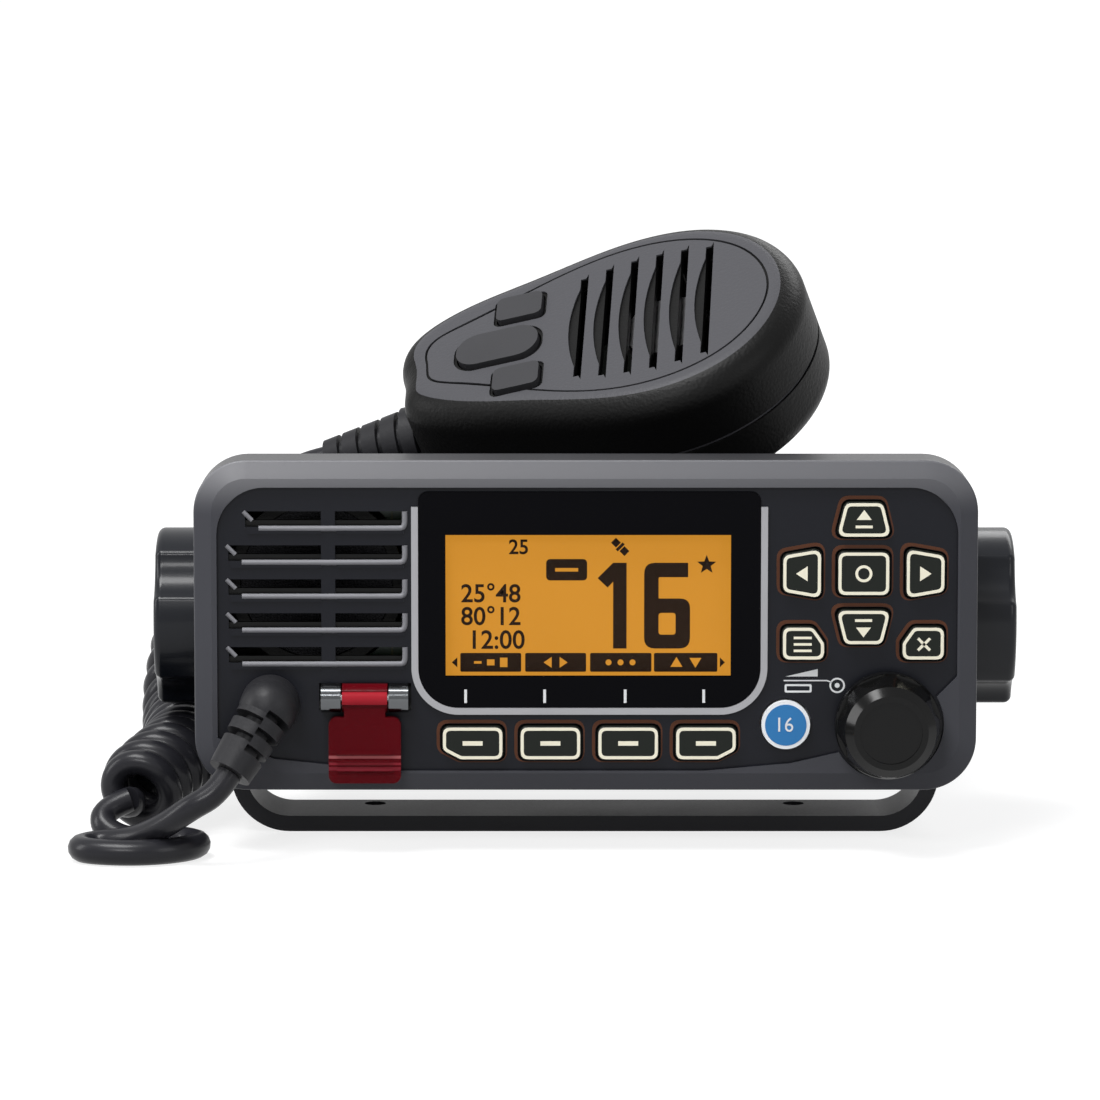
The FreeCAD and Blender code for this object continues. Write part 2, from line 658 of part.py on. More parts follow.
# ---- distress cover -----------------------------------------------------
def make_cover():
    half = HINGE_BARREL / 2
    y, z = depth(HINGE_D), up(HINGE_Z)
    barrel = rod_x(COVER_X - half, COVER_X + half, y, z, HINGE_R)
    arm_half = half - 0.4
    front = COVER_BACK - COVER_T
    arm = plate(COVER_X - arm_half, COVER_X + arm_half, COVER_TOP - 1.0, HINGE_Z, front, COVER_BACK)
    side = COVER_W / 2
    flap = plate(COVER_X - side, COVER_X + side, COVER_BOTTOM, COVER_TOP, front, COVER_BACK, 1.6)
    ribs = []
    for i in range(3):
        rib_z = COVER_BOTTOM + 2.4 + i * 1.7
        ribs.append(plate(COVER_X - side + 1.6, COVER_X + side - 1.6, rib_z, rib_z + 0.7, front - 0.4,
                          front + 0.5))
    cover = barrel.fuse([arm, flap] + ribs)
    return cover.cut(rod_x(COVER_X - half - 1, COVER_X + half + 1, y, z, HINGE_PIN_R + FIT))


def make_cover_pin():
    reach = HINGE_BARREL / 2 + GAP + CAP_W - 0.8
    return rod_x(COVER_X - reach, COVER_X + reach, depth(HINGE_D), up(HINGE_Z), HINGE_PIN_R)


def make_cover_caps():
    caps = []
    reach = HINGE_BARREL / 2 + GAP
    for side in (-1, 1):
        x0, x1 = sorted((COVER_X + side * reach, COVER_X + side * (reach + CAP_W)))
        cap = rod_x(x0, x1, depth(HINGE_D), up(HINGE_Z), HINGE_R)
        caps.append(cap.cut(make_cover_pin()))
    return caps


# ---- panel boot ---------------------------------------------------------
def make_panel_boot():
    """Rubber elbow: a neck through the panel, a round head and a slotted stem."""
    line = BOOT_MOUTH.sub(BOOT_HEAD)
    length = line.Length
    way = V(line).normalize()
    stem = Part.makeCone(BOOT_HEAD_R - 0.3, BOOT_MOUTH_R, length, BOOT_HEAD, way)
    head = Part.makeSphere(BOOT_HEAD_R, BOOT_HEAD)
    neck = rod_y(BOOT_X, BOOT_Z, -6.0, RECESS_D, BOOT_HEAD_R)
    boot = stem.fuse([head, neck, rod_y(BOOT_X, BOOT_Z, 0, FLANGE_FRONT + 1.5, BOOT_NECK_R),
                      rod_y(BOOT_X, BOOT_Z, SKIN_BACK, SKIN_BACK + 1.4, BOOT_NECK_R + 3.0)])
    across = way.cross(V(0, 1, 0)).normalize()
    forward = across.cross(way)
    if forward.y > 0:
        forward = forward * -1
    for i, place in enumerate(BOOT_SLOTS):
        start = BOOT_HEAD.add(way * (length * place))
        open_to = across * (0.9 if i % 2 == 0 else -0.9) + forward * 0.45
        cutter = Part.makeCylinder(BOOT_HEAD_R + 1, BOOT_SLOT_W, start, way)
        core = Part.makeCylinder(BOOT_MOUTH_R - 1.6, BOOT_SLOT_W, start, way)
        middle = start.add(open_to * (BOOT_HEAD_R + 1.4))
        reach = Part.makeCylinder(BOOT_HEAD_R + 1, BOOT_SLOT_W, middle, way)
        boot = boot.cut(cutter.cut(core).common(reach))
    return boot


# ---- chassis and what it holds ------------------------------------------
def make_gasket():
    half_w, half_h, w = PANEL_W / 2, PANEL_H / 2, PANEL_WALL
    lap = FLANGE_LAP
    ring = plate(-half_w + lap, half_w - lap, -half_h + lap, half_h - lap, PANEL_DEPTH, FLANGE_D,
                 PANEL_CORNER - lap)
    inset = w + 4.5
    ring = ring.cut(plate(-half_w + inset, half_w - inset, -half_h + inset, half_h - inset, PANEL_DEPTH - 1,
                          FLANGE_D + 1, PANEL_CORNER - w))
    for sx in (-1, 1):
        for sz in (-1, 1):
            ring = ring.fuse(rod_y(sx * (SCREW_X - 0.5), sz * (SCREW_Z - 0.5), PANEL_DEPTH, FLANGE_D, 3.4))
            ring = ring.cut(rod_y(sx * SCREW_X, sz * SCREW_Z, PANEL_DEPTH - 1, FLANGE_D + 1, SCREW_R))
    return ring.removeSplitter()


def make_chassis():
    half_w, half_h = PANEL_W / 2 - FLANGE_LAP, PANEL_H / 2 - FLANGE_LAP
    flange = plate(-half_w, half_w, -half_h, half_h, FLANGE_D, BODY_FRONT, PANEL_CORNER - FLANGE_LAP)
    low, high = BODY_BOTTOM - PANEL_Z, BODY_TOP - PANEL_Z
    tub = plate(-BODY_HALF, BODY_HALF, low, high, FLANGE_D, BODY_BACK, BODY_CORNER)
    corner = V(-BODY_HALF - 1, depth(BODY_BACK), BODY_BOTTOM)
    wedge = Part.Face(Part.makePolygon([corner.add(V(0, -TOE, 0)), corner.add(V(0, 1, -0.01)),
                                        corner.add(V(0, 0, TOE)), corner.add(V(0, -TOE, 0))]))
    w = BODY_WALL
    hollow = plate(-BODY_HALF + w, BODY_HALF - w, low + w, high - w, FLANGE_D - 1, BODY_BACK - w - TOE / 2,
                   BODY_CORNER - w)
    tub = tub.cut(wedge.extrude(V(2 * BODY_HALF + 2, 0, 0)))
    pieces = [tub]
    for i in range(FIN_N):
        x = (i - (FIN_N - 1) / 2) * FIN_PITCH
        pieces.append(box(x - FIN_T / 2, x + FIN_T / 2, depth(BODY_BACK) - 1, depth(BODY_BACK + FIN_L),
                          BODY_TOP - FIN_H - 2, BODY_TOP - 2))
    body = flange.fuse(pieces).cut(hollow)
    boss_x = BODY_HALF - w
    for side in (-1, 1):
        boss = rod_x(boss_x - PIVOT_BOSS_L, boss_x + 0.5, 0, PIVOT_Z, 6.0)
        bore = rod_x(boss_x - PIVOT_BOSS_L - 1, BODY_HALF + 1, 0, PIVOT_Z, STUD_R + FIT)
        if side < 0:
            boss, bore = boss.mirror(V(0, 0, 0), V(1, 0, 0)), bore.mirror(V(0, 0, 0), V(1, 0, 0))
        body = body.fuse(boss).cut(bore)
    for x, z in board_posts():
        body = body.fuse(rod_z(x, z, BODY_BOTTOM + w - 0.5, MAIN_BOARD_Z, 3.0))
    for sx in (-1, 1):
        for sz in (-1, 1):
            body = body.cut(rod_y(sx * SCREW_X, sz * SCREW_Z, FLANGE_D - 1, BODY_FRONT + 1, SCREW_R))
    for x, r in ((ANTENNA_X, 5.0), (POWER_X, 4.0), (DATA_X, 4.0)):
        body = body.cut(rod_y(x, SOCKET_Z - PANEL_Z, BODY_BACK - 12, BODY_BACK + 1, r))
    return body


def board_posts():
    front, back = depth(BODY_FRONT + 8), depth(BODY_BACK - 20)
    x = BODY_HALF - 15.0
    return [(-x, front), (x, front), (-x, back), (x, back)]


def make_main_board():
    x = BODY_HALF - 9.0
    return box(-x, x, depth(BODY_FRONT + 2), depth(BODY_BACK - 14), MAIN_BOARD_Z, MAIN_BOARD_Z + BOARD_T)


def make_rf_shield():
    z0 = MAIN_BOARD_Z + BOARD_T
    y0, y1 = depth(BODY_FRONT + 14), depth(BODY_BACK - 24)
    can = box(-28, 28, y0, y1, z0, z0 + 12)
    return can.cut(box(-27.4, 27.4, y0 + 0.6, y1 - 0.6, z0 - 1, z0 + 11.4))


def make_antenna_socket():
    z = SOCKET_Z - PANEL_Z
    socket = rod_y(ANTENNA_X, z, BODY_BACK - 8, BODY_BACK, 5.0)
    socket = socket.fuse([rod_y(ANTENNA_X, z, BODY_BACK, BODY_BACK + 3, 9.5),
                          rod_y(ANTENNA_X, z, BODY_BACK, BODY_BACK + FIN_L, 7.8)])
    return socket.cut(rod_y(ANTENNA_X, z, BODY_BACK + 4, BODY_BACK + FIN_L + 1, 6.4)).fuse(
        rod_y(ANTENNA_X, z, BODY_BACK, BODY_BACK + FIN_L - 1, 4.5)).cut(
        rod_y(ANTENNA_X, z, BODY_BACK + 3, BODY_BACK + FIN_L, 2.2))


def make_power_gland():
    z = SOCKET_Z - PANEL_Z
    gland = rod_y(POWER_X, z, BODY_BACK - 8, BODY_BACK, 4.0)
    gland = gland.fuse([rod_y(POWER_X, z, BODY_BACK, BODY_BACK + 3, 7.0),
                        rod_y(POWER_X, z, BODY_BACK, BODY_BACK + 10, 5.2)])
    return gland.cut(rod_y(POWER_X, z, BODY_BACK - 9, BODY_BACK + 11, 2.6))


def make_data_socket():
    z = SOCKET_Z - PANEL_Z
    socket = rod_y(DATA_X, z, BODY_BACK - 8, BODY_BACK, 4.0)
    socket = socket.fuse(rod_y(DATA_X, z, BODY_BACK, BODY_BACK + 8, 6.0))
    return socket.cut(rod_y(DATA_X, z, BODY_BACK + 2, BODY_BACK + 9, 4.6))


def make_chassis_screws():
    screws = []
    for sx in (-1, 1):
        for sz in (-1, 1):
            x, z = sx * SCREW_X, sz * SCREW_Z
            screw = rod_y(x, z, PANEL_DEPTH - 8.0, BODY_FRONT + 0.5, SCREW_R)
            screw = screw.fuse(rod_y(x, z, BODY_FRONT, BODY_FRONT + SCREW_HEAD_T, SCREW_HEAD_R))
            slot = plate(x - 2.0, x + 2.0, z - 0.4, z + 0.4, BODY_FRONT + 1.2, BODY_FRONT + 3)
            cross = plate(x - 0.4, x + 0.4, z - 2.0, z + 2.0, BODY_FRONT + 1.2, BODY_FRONT + 3)
            screws.append(screw.cut(slot).cut(cross))
    return screws


# ---- handset, in its own frame ------------------------------------------

def mic_outline(inset):
    """Closed smooth outline: narrow tail, wide round head."""
    length, tail, wide = MIC_L / 2 - inset, MIC_TAIL_W / 2 - inset, MIC_W / 2 - inset
    half = [(-0.97, 0.70 * tail), (-0.80, 1.12 * tail), (-0.35, tail + 0.60 * (wide - tail)),
            (0.10, 0.985 * wide), (0.45, 0.975 * wide), (0.80, 0.70 * wide)]
    points = [V(-length, 0, 0)]
    points += [V(s * length, w, 0) for s, w in half]
    points.append(V(length, 0, 0))
    points += [V(s * length, -w, 0) for s, w in reversed(half)]
    curve = Part.BSplineCurve()
    curve.interpolate(points, PeriodicFlag=True)
    return Part.Face(Part.Wire(curve.toShape()))


def mic_prism(inset, c0, c1):
    face = mic_outline(inset)
    face.translate(V(0, 0, c0))
    return face.extrude(V(0, 0, c1 - c0))


def round_rim(solid, c, r):
    rim = [e for e in solid.Edges if abs(e.BoundBox.ZMin - c) < 1e-5 and abs(e.BoundBox.ZMax - c) < 1e-5]
    return solid.makeFillet(r, rim)


def ptt_block(extra):
    """Bar that follows the far side, and the hole for it."""
    ring = mic_prism(-PTT_OUT - extra, -PTT_HALF_C - extra, PTT_HALF_C + extra)
    ring = ring.cut(mic_prism(MIC_WALL + 1.4 + extra, -PTT_HALF_C - 1, PTT_HALF_C + 1))
    return ring.common(box(PTT_A0 - extra, PTT_A1 + extra, 0, MIC_W, -20, 20))


def make_mic_front():
    shell = round_rim(mic_prism(0, 0, MIC_FRONT_T), MIC_FRONT_T, MIC_FRONT_ROUND)
    inner_top = MIC_FRONT_T - MIC_WALL
    shell = shell.cut(round_rim(mic_prism(MIC_WALL, 0, inner_top), inner_top, MIC_FRONT_ROUND - MIC_WALL))
    for a, b in MIC_POSTS:
        post = rod_z(a, b, 0, MIC_FRONT_T - MIC_WALL + 0.1, 2.6)
        shell = shell.fuse(post.common(mic_prism(MIC_WALL - 0.3, 0, MIC_FRONT_T)))
        shell = shell.cut(rod_z(a, b, -1, 7.0, 1.2))
    for k in range(MIC_SLOT_N):
        a = MIC_SLOT_A + (k - (MIC_SLOT_N - 1) / 2) * MIC_SLOT_PITCH
        reach = 19.3 - 0.3 * (k - 3) ** 2
        half = MIC_SLOT_W / 2
        shell = shell.cut(box(a - half, a + half, -reach, reach, inner_top - 1, MIC_FRONT_T + 1))
        shell = shell.cut(slot_leaf(a, reach))
    for outline in mic_key_outlines().values():
        shell = shell.cut(local_slab(outline, GAP, inner_top - 1, MIC_FRONT_T + 1))
        shell = shell.cut(local_slab(outline, KEY_POCKET_W, MIC_FRONT_T - KEY_POCKET_D, MIC_FRONT_T + 1))
    groove = mic_prism(MIC_FACE_INSET, MIC_FRONT_T - MIC_GROOVE, MIC_FRONT_T + 1)
    groove = groove.cut(mic_prism(MIC_FACE_INSET + MIC_GROOVE, MIC_FRONT_T - 1, MIC_FRONT_T + 1))
    return shell.cut(groove).cut(ptt_block(GAP))


def slot_leaf(a, reach):
    """Shallow hollow beside a slot: straight along it, bowed towards the cord."""
    edge, end = a + MIC_SLOT_W / 2, reach + 1.4
    c = MIC_FRONT_T - LEAF_D
    low, high = V(edge, -end, c), V(edge, end, c)
    bow = Part.Arc(low, V(edge - MIC_SLOT_W - LEAF_W, 0, c), high)
    outline = Part.Wire([bow.toShape(), Part.LineSegment(high, low).toShape()])
    return Part.Face(outline).extrude(V(0, 0, LEAF_D + 1))


def make_mic_rear():
    shell = round_rim(mic_prism(0, -MIC_REAR_T, -SEAL_T), -MIC_REAR_T, MIC_REAR_ROUND)
    floor = -MIC_REAR_T + MIC_WALL
    shell = shell.cut(round_rim(mic_prism(MIC_WALL, floor, -SEAL_T), floor, MIC_REAR_ROUND - MIC_WALL))
    for a, b in MIC_POSTS:
        post = rod_z(a, b, floor - 0.1, -SEAL_T, 2.6)
        shell = shell.fuse(post.common(mic_prism(MIC_WALL - 0.3, -MIC_REAR_T, 0)))
        shell = shell.cut(rod_z(a, b, -MIC_REAR_T - 1, 1, 1.2)).cut(rod_z(a, b, -MIC_REAR_T - 1, floor, 2.1))
    for a in (-22.0, 18.0):
        for b in (-9.0, 9.0):
            shell = shell.fuse(rod_z(a, b, floor - 0.1, MIC_BOARD_C, 2.0))
    return shell.cut(boot_hole()).cut(ptt_block(GAP))


def boot_hole():
    return Part.makeCylinder(MIC_BOOT_HOLE_R, 10, V(-MIC_L / 2 - 3, 0, MIC_BOOT_C), V(1, 0, 0))


def make_mic_seal():
    ring = mic_prism(0.5, -SEAL_T, 0).cut(mic_prism(MIC_WALL - 0.3, -SEAL_T - 1, 1))
    return ring.cut(ptt_block(GAP)).cut(boot_hole())


def mic_key_outlines():
    """a, b, width, height and corner radius of the keys on the handset."""
    tail = -MIC_L / 2
    return {"mic_upper_key": (tail + 26.8, 11.0, 10.0, 7.6, 1.6),
            "mic_lower_key": (tail + 27.4, -13.0, 10.0, 7.4, 1.6),
            "mic_rocker": (tail + 22.6, -1.0, 18.0, 10.0, 4.8)}


def local_slab(outline, extra, c0, c1):
    a, b, w, h, r = outline
    solid = box(a - w / 2 - extra, a + w / 2 + extra, b - h / 2 - extra, b + h / 2 + extra, c0, c1)
    return round_edges(solid, V(0, 0, 1), r + min(extra, 0.1))


def make_mic_key(outline):
    under = MIC_FRONT_T - MIC_WALL - GAP
    key = local_slab(outline, 0, under - 1.0, MIC_FRONT_T + MIC_KEY_OUT)
    return key.fuse(local_slab(outline, 0.8, under - 1.0, under))


def make_mic_rocker(outline):
    under = MIC_FRONT_T - MIC_WALL - 0.4
    rocker = local_slab(outline, 0, under, MIC_FRONT_T + MIC_KEY_OUT)
    a, b = outline[:2]
    pin = Part.makeCylinder(ROCKER_PIN_R, 9.0, V(a, b - 4.5, ROCKER_PIN_C), V(0, 1, 0))
    return rocker.fuse([pin, rod_z(a, b, MIC_BOARD_C + BOARD_T + 0.6, under + 0.2, 1.0)])


def make_mic_board():
    return box(-29.0, 28.0, -13.0, 13.0, MIC_BOARD_C, MIC_BOARD_C + BOARD_T)


def make_mic_element():
    return rod_z(14.0, 0, MIC_BOARD_C + BOARD_T, MIC_FRONT_T - MIC_WALL - 2.0, 9.0)


def make_mic_screws():
    floor = -MIC_REAR_T + MIC_WALL
    return [rod_z(a, b, floor, 6.5, 1.2).fuse(rod_z(a, b, floor - 1.6, floor, 2.1)) for a, b in MIC_POSTS]


def make_hanger_stud():
    stud = rod_z(18.0, 0, -MIC_REAR_T - 4.0, -MIC_REAR_T, 3.6)
    return stud.fuse(Part.makeCone(6.0, 7.2, 2.4, V(18.0, 0, -MIC_REAR_T - 6.4)))


def make_mic_boot():
    """Ribbed strain relief that leaves the tail."""
    start = MIC_L / 2 - MIC_WALL
    face = 0.2 - mic_outline(0).optimalBoundingBox(False, False).XMin
    collar = face + 3.0
    root_r = MIC_BOOT_HOLE_R - FIT
    profile = [(0, start), (root_r, start), (root_r, face), (7.0, face), (7.0, collar)]
    tip, ribs = MIC_L / 2 + MIC_BOOT_L, 4
    rib = (tip - collar) / ribs
    for i in range(ribs):
        r, reach = 6.4 - 0.7 * i, collar + i * rib
        profile += [(r - 1.6, reach), (r - 1.6, reach + 1.2), (r, reach + 1.2), (r - 0.5, reach + rib)]
    profile.append((0, tip))
    points = [V(-a, r, MIC_BOOT_C) for r, a in profile]
    outline = Part.Face(Part.makePolygon(points + points[:1]))
    return outline.revolve(V(0, 0, MIC_BOOT_C), V(1, 0, 0), 360)


def handset_pieces():
    keys = mic_key_outlines()
    return {"mic_front_shell": make_mic_front(), "mic_rear_shell": make_mic_rear(),
            "mic_seal": make_mic_seal(),
            "mic_board": make_mic_board(), "mic_element": make_mic_element(),
            "mic_screws": Part.makeCompound(make_mic_screws()), "mic_hanger_stud": make_hanger_stud(),
            "mic_boot": make_mic_boot(), "ptt_bar": ptt_block(0),
            "mic_upper_key": make_mic_key(keys["mic_upper_key"]),
            "mic_lower_key": make_mic_key(keys["mic_lower_key"]),
            "mic_rocker": make_mic_rocker(keys["mic_rocker"])}


def handset_placement(pieces):
    """Lean of the resting handset, lowered until it nearly meets the chassis top."""
    u = V(MIC_U).normalize()
    n = u.cross(MIC_V).normalize()
    v = n.cross(u)
    turn = FreeCAD.Rotation(FreeCAD.Matrix(u.x, v.x, n.x, 0, u.y, v.y, n.y, 0, u.z, v.z, n.z, 0, 0, 0, 0, 1))
    trial = FreeCAD.Placement(V(MIC_X, MIC_Y, 0), turn)
    low = 1e9
    for name in ("mic_front_shell", "mic_rear_shell", "mic_hanger_stud"):
        copy = pieces[name].copy()
        copy.Placement = trial
        low = min(low, copy.optimalBoundingBox(True, False).ZMin)
    return FreeCAD.Placement(V(MIC_X, MIC_Y, BODY_TOP + MIC_REST - low), turn)


# ---- cord ---------------------------------------------------------------
def route_path(points):
    """Straight runs joined by tangent arcs; also gives the length and the smallest radius."""
    edges, place, length, tightest = [], points[0], 0.0, 1e9
    for i in range(1, len(points) - 1):
        before, after = points[i - 1].sub(points[i]), points[i + 1].sub(points[i])
        turn = math.pi - before.getAngle(after)
        cut_back = 0.45 * min(before.Length, after.Length)
        radius = cut_back / math.tan(turn / 2)
        start = points[i].add(V(before).normalize() * cut_back)
        end = points[i].add(V(after).normalize() * cut_back)
        inward = V(before).normalize().add(V(after).normalize()).normalize()
        middle = points[i].add(inward * (radius / math.cos(turn / 2) - radius))
        edges.append(Part.LineSegment(place, start).toShape())
        edges.append(Part.Arc(start, middle, end).toShape())
        length += place.distanceToPoint(start) + radius * turn
        tightest = min(tightest, radius)
        place = end
    edges.append(Part.LineSegment(place, points[-1]).toShape())
    length += place.distanceToPoint(points[-1])
    return Part.Wire(edges), length, tightest


def make_tube(name, points, r):
    path, length, tightest = route_path(points)
    disc = Part.Wire(Part.Circle(points[0], points[1].sub(points[0]), r).toShape())
    tube = path.makePipeShell([disc], True, True)
    expected = math.pi * r * r * length
    print("%s: length %.1f, tightest radius %.1f, volume %.0f of %.0f" %
          (name, length, tightest, tube.Volume, expected))
    return tube


# x counts outwards from the bracket's left side
COIL_ROUTE = [(19.4, -29.0, 9.8), (15.8, -18.0, 12.4), (12.2, -6.0, 14.0), (10.4, 8.0, 14.4),
              (11.4, 23.0, 17.0), (12.4, 37.0, 25.0), (9.4, 50.0, 38.0)]
FRONT_ROUTE = [(5.6, -52.0, 12.0), (11.0, -48.6, 7.8), (17.6, -42.6, 4.0), (24.8, -39.4, 2.8),
               (28.4, -42.6, 2.7), (27.6, -47.4, 2.7), (22.6, -50.0, 2.7), (16.2, -50.6, 2.7),
               (10.4, -48.6, 2.7), (6.0, -44.6, 2.7), (4.4, -39.2, 2.7), (8.0, -34.6, 2.7),
               (14.4, -34.0, 2.7), (20.0, -36.0, 2.8), (24.8, -34.0, 5.2), (24.2, -30.4, 8.2)]
REAR_ROUTE = [(-6.0, 45.7, 66.4), (0.6, 47.4, 59.8), (5.2, 48.8, 52.2), (8.0, 49.7, 45.0)]


def beside_bracket(route):
    return [V(-BRACKET_HALF - x, y, z) for x, y, z in route]


def leaving(place, way):
    """First points of a lead, straight out of its boot."""
    return [place.add(way * LEAD_OFF), place.add(way * LEAD_RUN)]


def main():
    save("mounting_bracket", make_bracket())
    save("bracket_washers", make_washers())
    save("front_panel", make_front_panel())
    save("rear_chassis", make_chassis())
    save("panel_gasket", make_gasket())
    save("display_window", make_window())
    save("window_trim", make_window_trim())
    save("lcd_module", make_lcd())
    save("backlight_diffuser", make_diffuser())
    save("speaker_frame", make_speaker_frame())
    save("speaker_cone", make_speaker_cone())
    save("key_mat", make_key_mat())
    save("key_switches", make_key_switches())
    save("front_board", make_front_board())
    save("main_board", make_main_board())
    save("rf_shield", make_rf_shield())
    save("chassis_screws", make_chassis_screws())
    save("panel_boot", make_panel_boot())
    save("antenna_socket", make_antenna_socket())
    save("power_gland", make_power_gland())
    save("data_socket", make_data_socket())
    for name, points in key_outlines().items():
        save(name, make_flat_key(points))
    save("call_key", make_call_key())
    save("volume_knob", make_volume_knob())
    save("volume_shaft", make_volume_shaft())
    save("volume_plunger", make_volume_plunger())
    save("volume_encoder", make_volume_encoder())
    save("distress_cover", make_cover())
    save("cover_pin", make_cover_pin())
    save("cover_caps", make_cover_caps())
    save("distress_key", make_alert_key())
    save("clamp_knob_left", make_clamp_knob(-1, 54.4))
    save("clamp_knob_right", make_clamp_knob(1, 58.0))
    save("clamp_stud_left", make_clamp_stud(-1))
    save("clamp_stud_right", make_clamp_stud(1))
    pieces = handset_pieces()
    rest = handset_placement(pieces)
    for name, piece in pieces.items():
        piece.Placement = rest
        save(name, piece)
    boot_tip = rest.multVec(V(-MIC_L / 2 - MIC_BOOT_L, 0, MIC_BOOT_C))
    print("handset centre", rest.Base, "boot tip", boot_tip)
    way = BOOT_MOUTH.sub(BOOT_HEAD).normalize()
    front = leaving(BOOT_MOUTH, way) + beside_bracket(FRONT_ROUTE)
    rear = leaving(boot_tip, rest.Rotation.multVec(V(-1, 0, 0))) + beside_bracket(REAR_ROUTE)
    coil = beside_bracket(COIL_ROUTE)
    save("cord_coil", make_tube("coil", coil, COIL_R))
    save("cord_front_lead", make_tube("front lead", front + coil[:1], CORD_R))
    save("cord_rear_lead", make_tube("rear lead", rear + coil[-1:], CORD_R))


main()
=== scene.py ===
"""Finish of a fixed-mount VHF marine radio with a fist microphone.

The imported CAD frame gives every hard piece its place. This script adds the cords,
the printed marks, the display picture and the small trim, and gives every piece
its material. Metres; +Z up; the front panel faces -Y.
"""
import math

import bpy
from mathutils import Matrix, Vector


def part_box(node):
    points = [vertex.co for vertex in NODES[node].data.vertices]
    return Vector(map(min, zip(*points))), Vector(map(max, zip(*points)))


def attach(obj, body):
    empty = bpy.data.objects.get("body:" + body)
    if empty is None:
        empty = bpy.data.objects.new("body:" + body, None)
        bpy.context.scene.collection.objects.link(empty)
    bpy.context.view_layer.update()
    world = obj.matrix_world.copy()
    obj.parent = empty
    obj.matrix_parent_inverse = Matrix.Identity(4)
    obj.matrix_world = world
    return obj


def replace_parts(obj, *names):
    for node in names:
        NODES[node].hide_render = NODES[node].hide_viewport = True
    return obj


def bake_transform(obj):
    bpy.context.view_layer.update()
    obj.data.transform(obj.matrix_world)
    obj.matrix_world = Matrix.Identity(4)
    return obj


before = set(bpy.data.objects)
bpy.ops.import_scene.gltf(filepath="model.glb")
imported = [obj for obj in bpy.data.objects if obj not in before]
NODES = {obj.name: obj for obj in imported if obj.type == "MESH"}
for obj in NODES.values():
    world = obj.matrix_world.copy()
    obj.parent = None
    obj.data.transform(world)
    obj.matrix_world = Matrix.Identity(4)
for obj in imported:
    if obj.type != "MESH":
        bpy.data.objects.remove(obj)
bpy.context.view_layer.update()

bl_info = {
    "name": "Marine radio finish",
    "version": (1, 0, 0),
    "blender": (4, 5, 0),
    "location": "3D View > Sidebar > Radio",
    "description": "Cords, marks, display and materials of a marine radio",
    "category": "Object",
}

MM = 0.001

# places taken from the frame
PANEL_LOW, PANEL_HIGH = (Vector(corner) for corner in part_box("front_panel"))
FRONT_Y = PANEL_LOW.y
MIDDLE_Z = (PANEL_LOW.z + PANEL_HIGH.z) / 2
LCD_FRONT_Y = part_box("lcd_module")[0][1]
WINDOW_FRONT_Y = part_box("display_window")[0][1]
KEY_FRONT_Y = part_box("enter_key")[0][1]
COVER_TOP_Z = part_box("distress_cover")[1][2]

# Numbers from here to the camera are in millimetres; marks are counted from the panel's middle.

# routes of the cords
FRONT_LEAD_ROUTE = [(-70.70, -49.58, 18.44), (-73.05, -51.46, 14.71), (-78.2, -52.0, 12.0),
                    (-83.6, -48.6, 7.8), (-90.2, -42.6, 4.0), (-97.4, -39.4, 2.8), (-101.0, -42.6, 2.7),
                    (-100.2, -47.4, 2.7), (-95.2, -50.0, 2.7), (-88.8, -50.6, 2.7), (-83.0, -48.6, 2.7),
                    (-78.6, -44.6, 2.7), (-77.0, -39.2, 2.7), (-80.6, -34.6, 2.7), (-87.0, -34.0, 2.7),
                    (-92.6, -36.0, 2.8), (-97.4, -34.0, 5.2), (-96.8, -30.4, 8.2), (-92.0, -29.0, 9.8)]
COIL_ROUTE = [FRONT_LEAD_ROUTE[-1], (-88.4, -18.0, 12.4), (-84.8, -6.0, 14.0), (-83.0, 8.0, 14.4),
              (-84.0, 23.0, 17.0), (-85.0, 37.0, 25.0), (-82.0, 50.0, 38.0)]
REAR_LEAD_ROUTE = [(-54.61, 42.83, 71.54), (-59.17, 43.85, 70.44), (-66.6, 45.7, 66.4),
                   (-73.2, 47.4, 59.8), (-77.8, 48.8, 52.2), (-80.6, 49.7, 45.0), COIL_ROUTE[-1]]
# a point along the coil, its steps in a turn, and the turns over which it widens
COIL_START, COIL_STEPS, COIL_RUN_IN = (-88, -12, 9), 14, 0.8

# painted field of the front panel: its corners, the cut of its corners, and the depths behind the front
# at which the field, the painted black shade in the slots and the painted shade of the sides begin
FIELD_LOW, FIELD_HIGH, FIELD_CUT = (-73.9, -29.6), (74.5, 28.2), 6.4
FIELD_DEPTH, SLOT_SHADE_DEPTH, SHADED_SIDE_DEPTH = 0.06, 1.06, 1.45
# painted light on the top of the border: where it begins and is full, its share, and how it fades to the
# right
PAINTED_LIGHT_LOW, PAINTED_LIGHT_HIGH, PAINTED_LIGHT_SHARE, PAINTED_LIGHT_FADE = 22.0, 31.5, 0.75, 4.0

# painted highlights on the cover's barrel and ribs: how far below its top they start and end, and their
# colour
COVER_PAINTED_HIGHLIGHTS = [(3.9, 1.4, (0.400, 0.020, 0.032)), (14.8, 14.2, (0.380, 0.105, 0.110)),
               (16.1, 15.6, (0.250, 0.025, 0.036)), (17.2, 16.5, (0.200, 0.020, 0.030)),
               (18.5, 18.2, (0.110, 0.004, 0.007))]

# front face of the handset: the body's middle, the way the face looks, and how far out it begins
HANDSET_MIDDLE = Vector((6.9, 26.6, 90.41)) * MM
HANDSET_WAY = Vector((-0.307, -0.503, 0.808))
HANDSET_FACE = 14.25 * MM

# grain of the finishes: repeats in a metre, and depth
SLOW_NOISE = 38.0
LEATHER_CELLS, LEATHER_FINE, LEATHER_DEPTH = 1500.0, 2600.0, 0.06
CLOTH_THREADS, BOARD_TRACKS = 520.0, 90.0

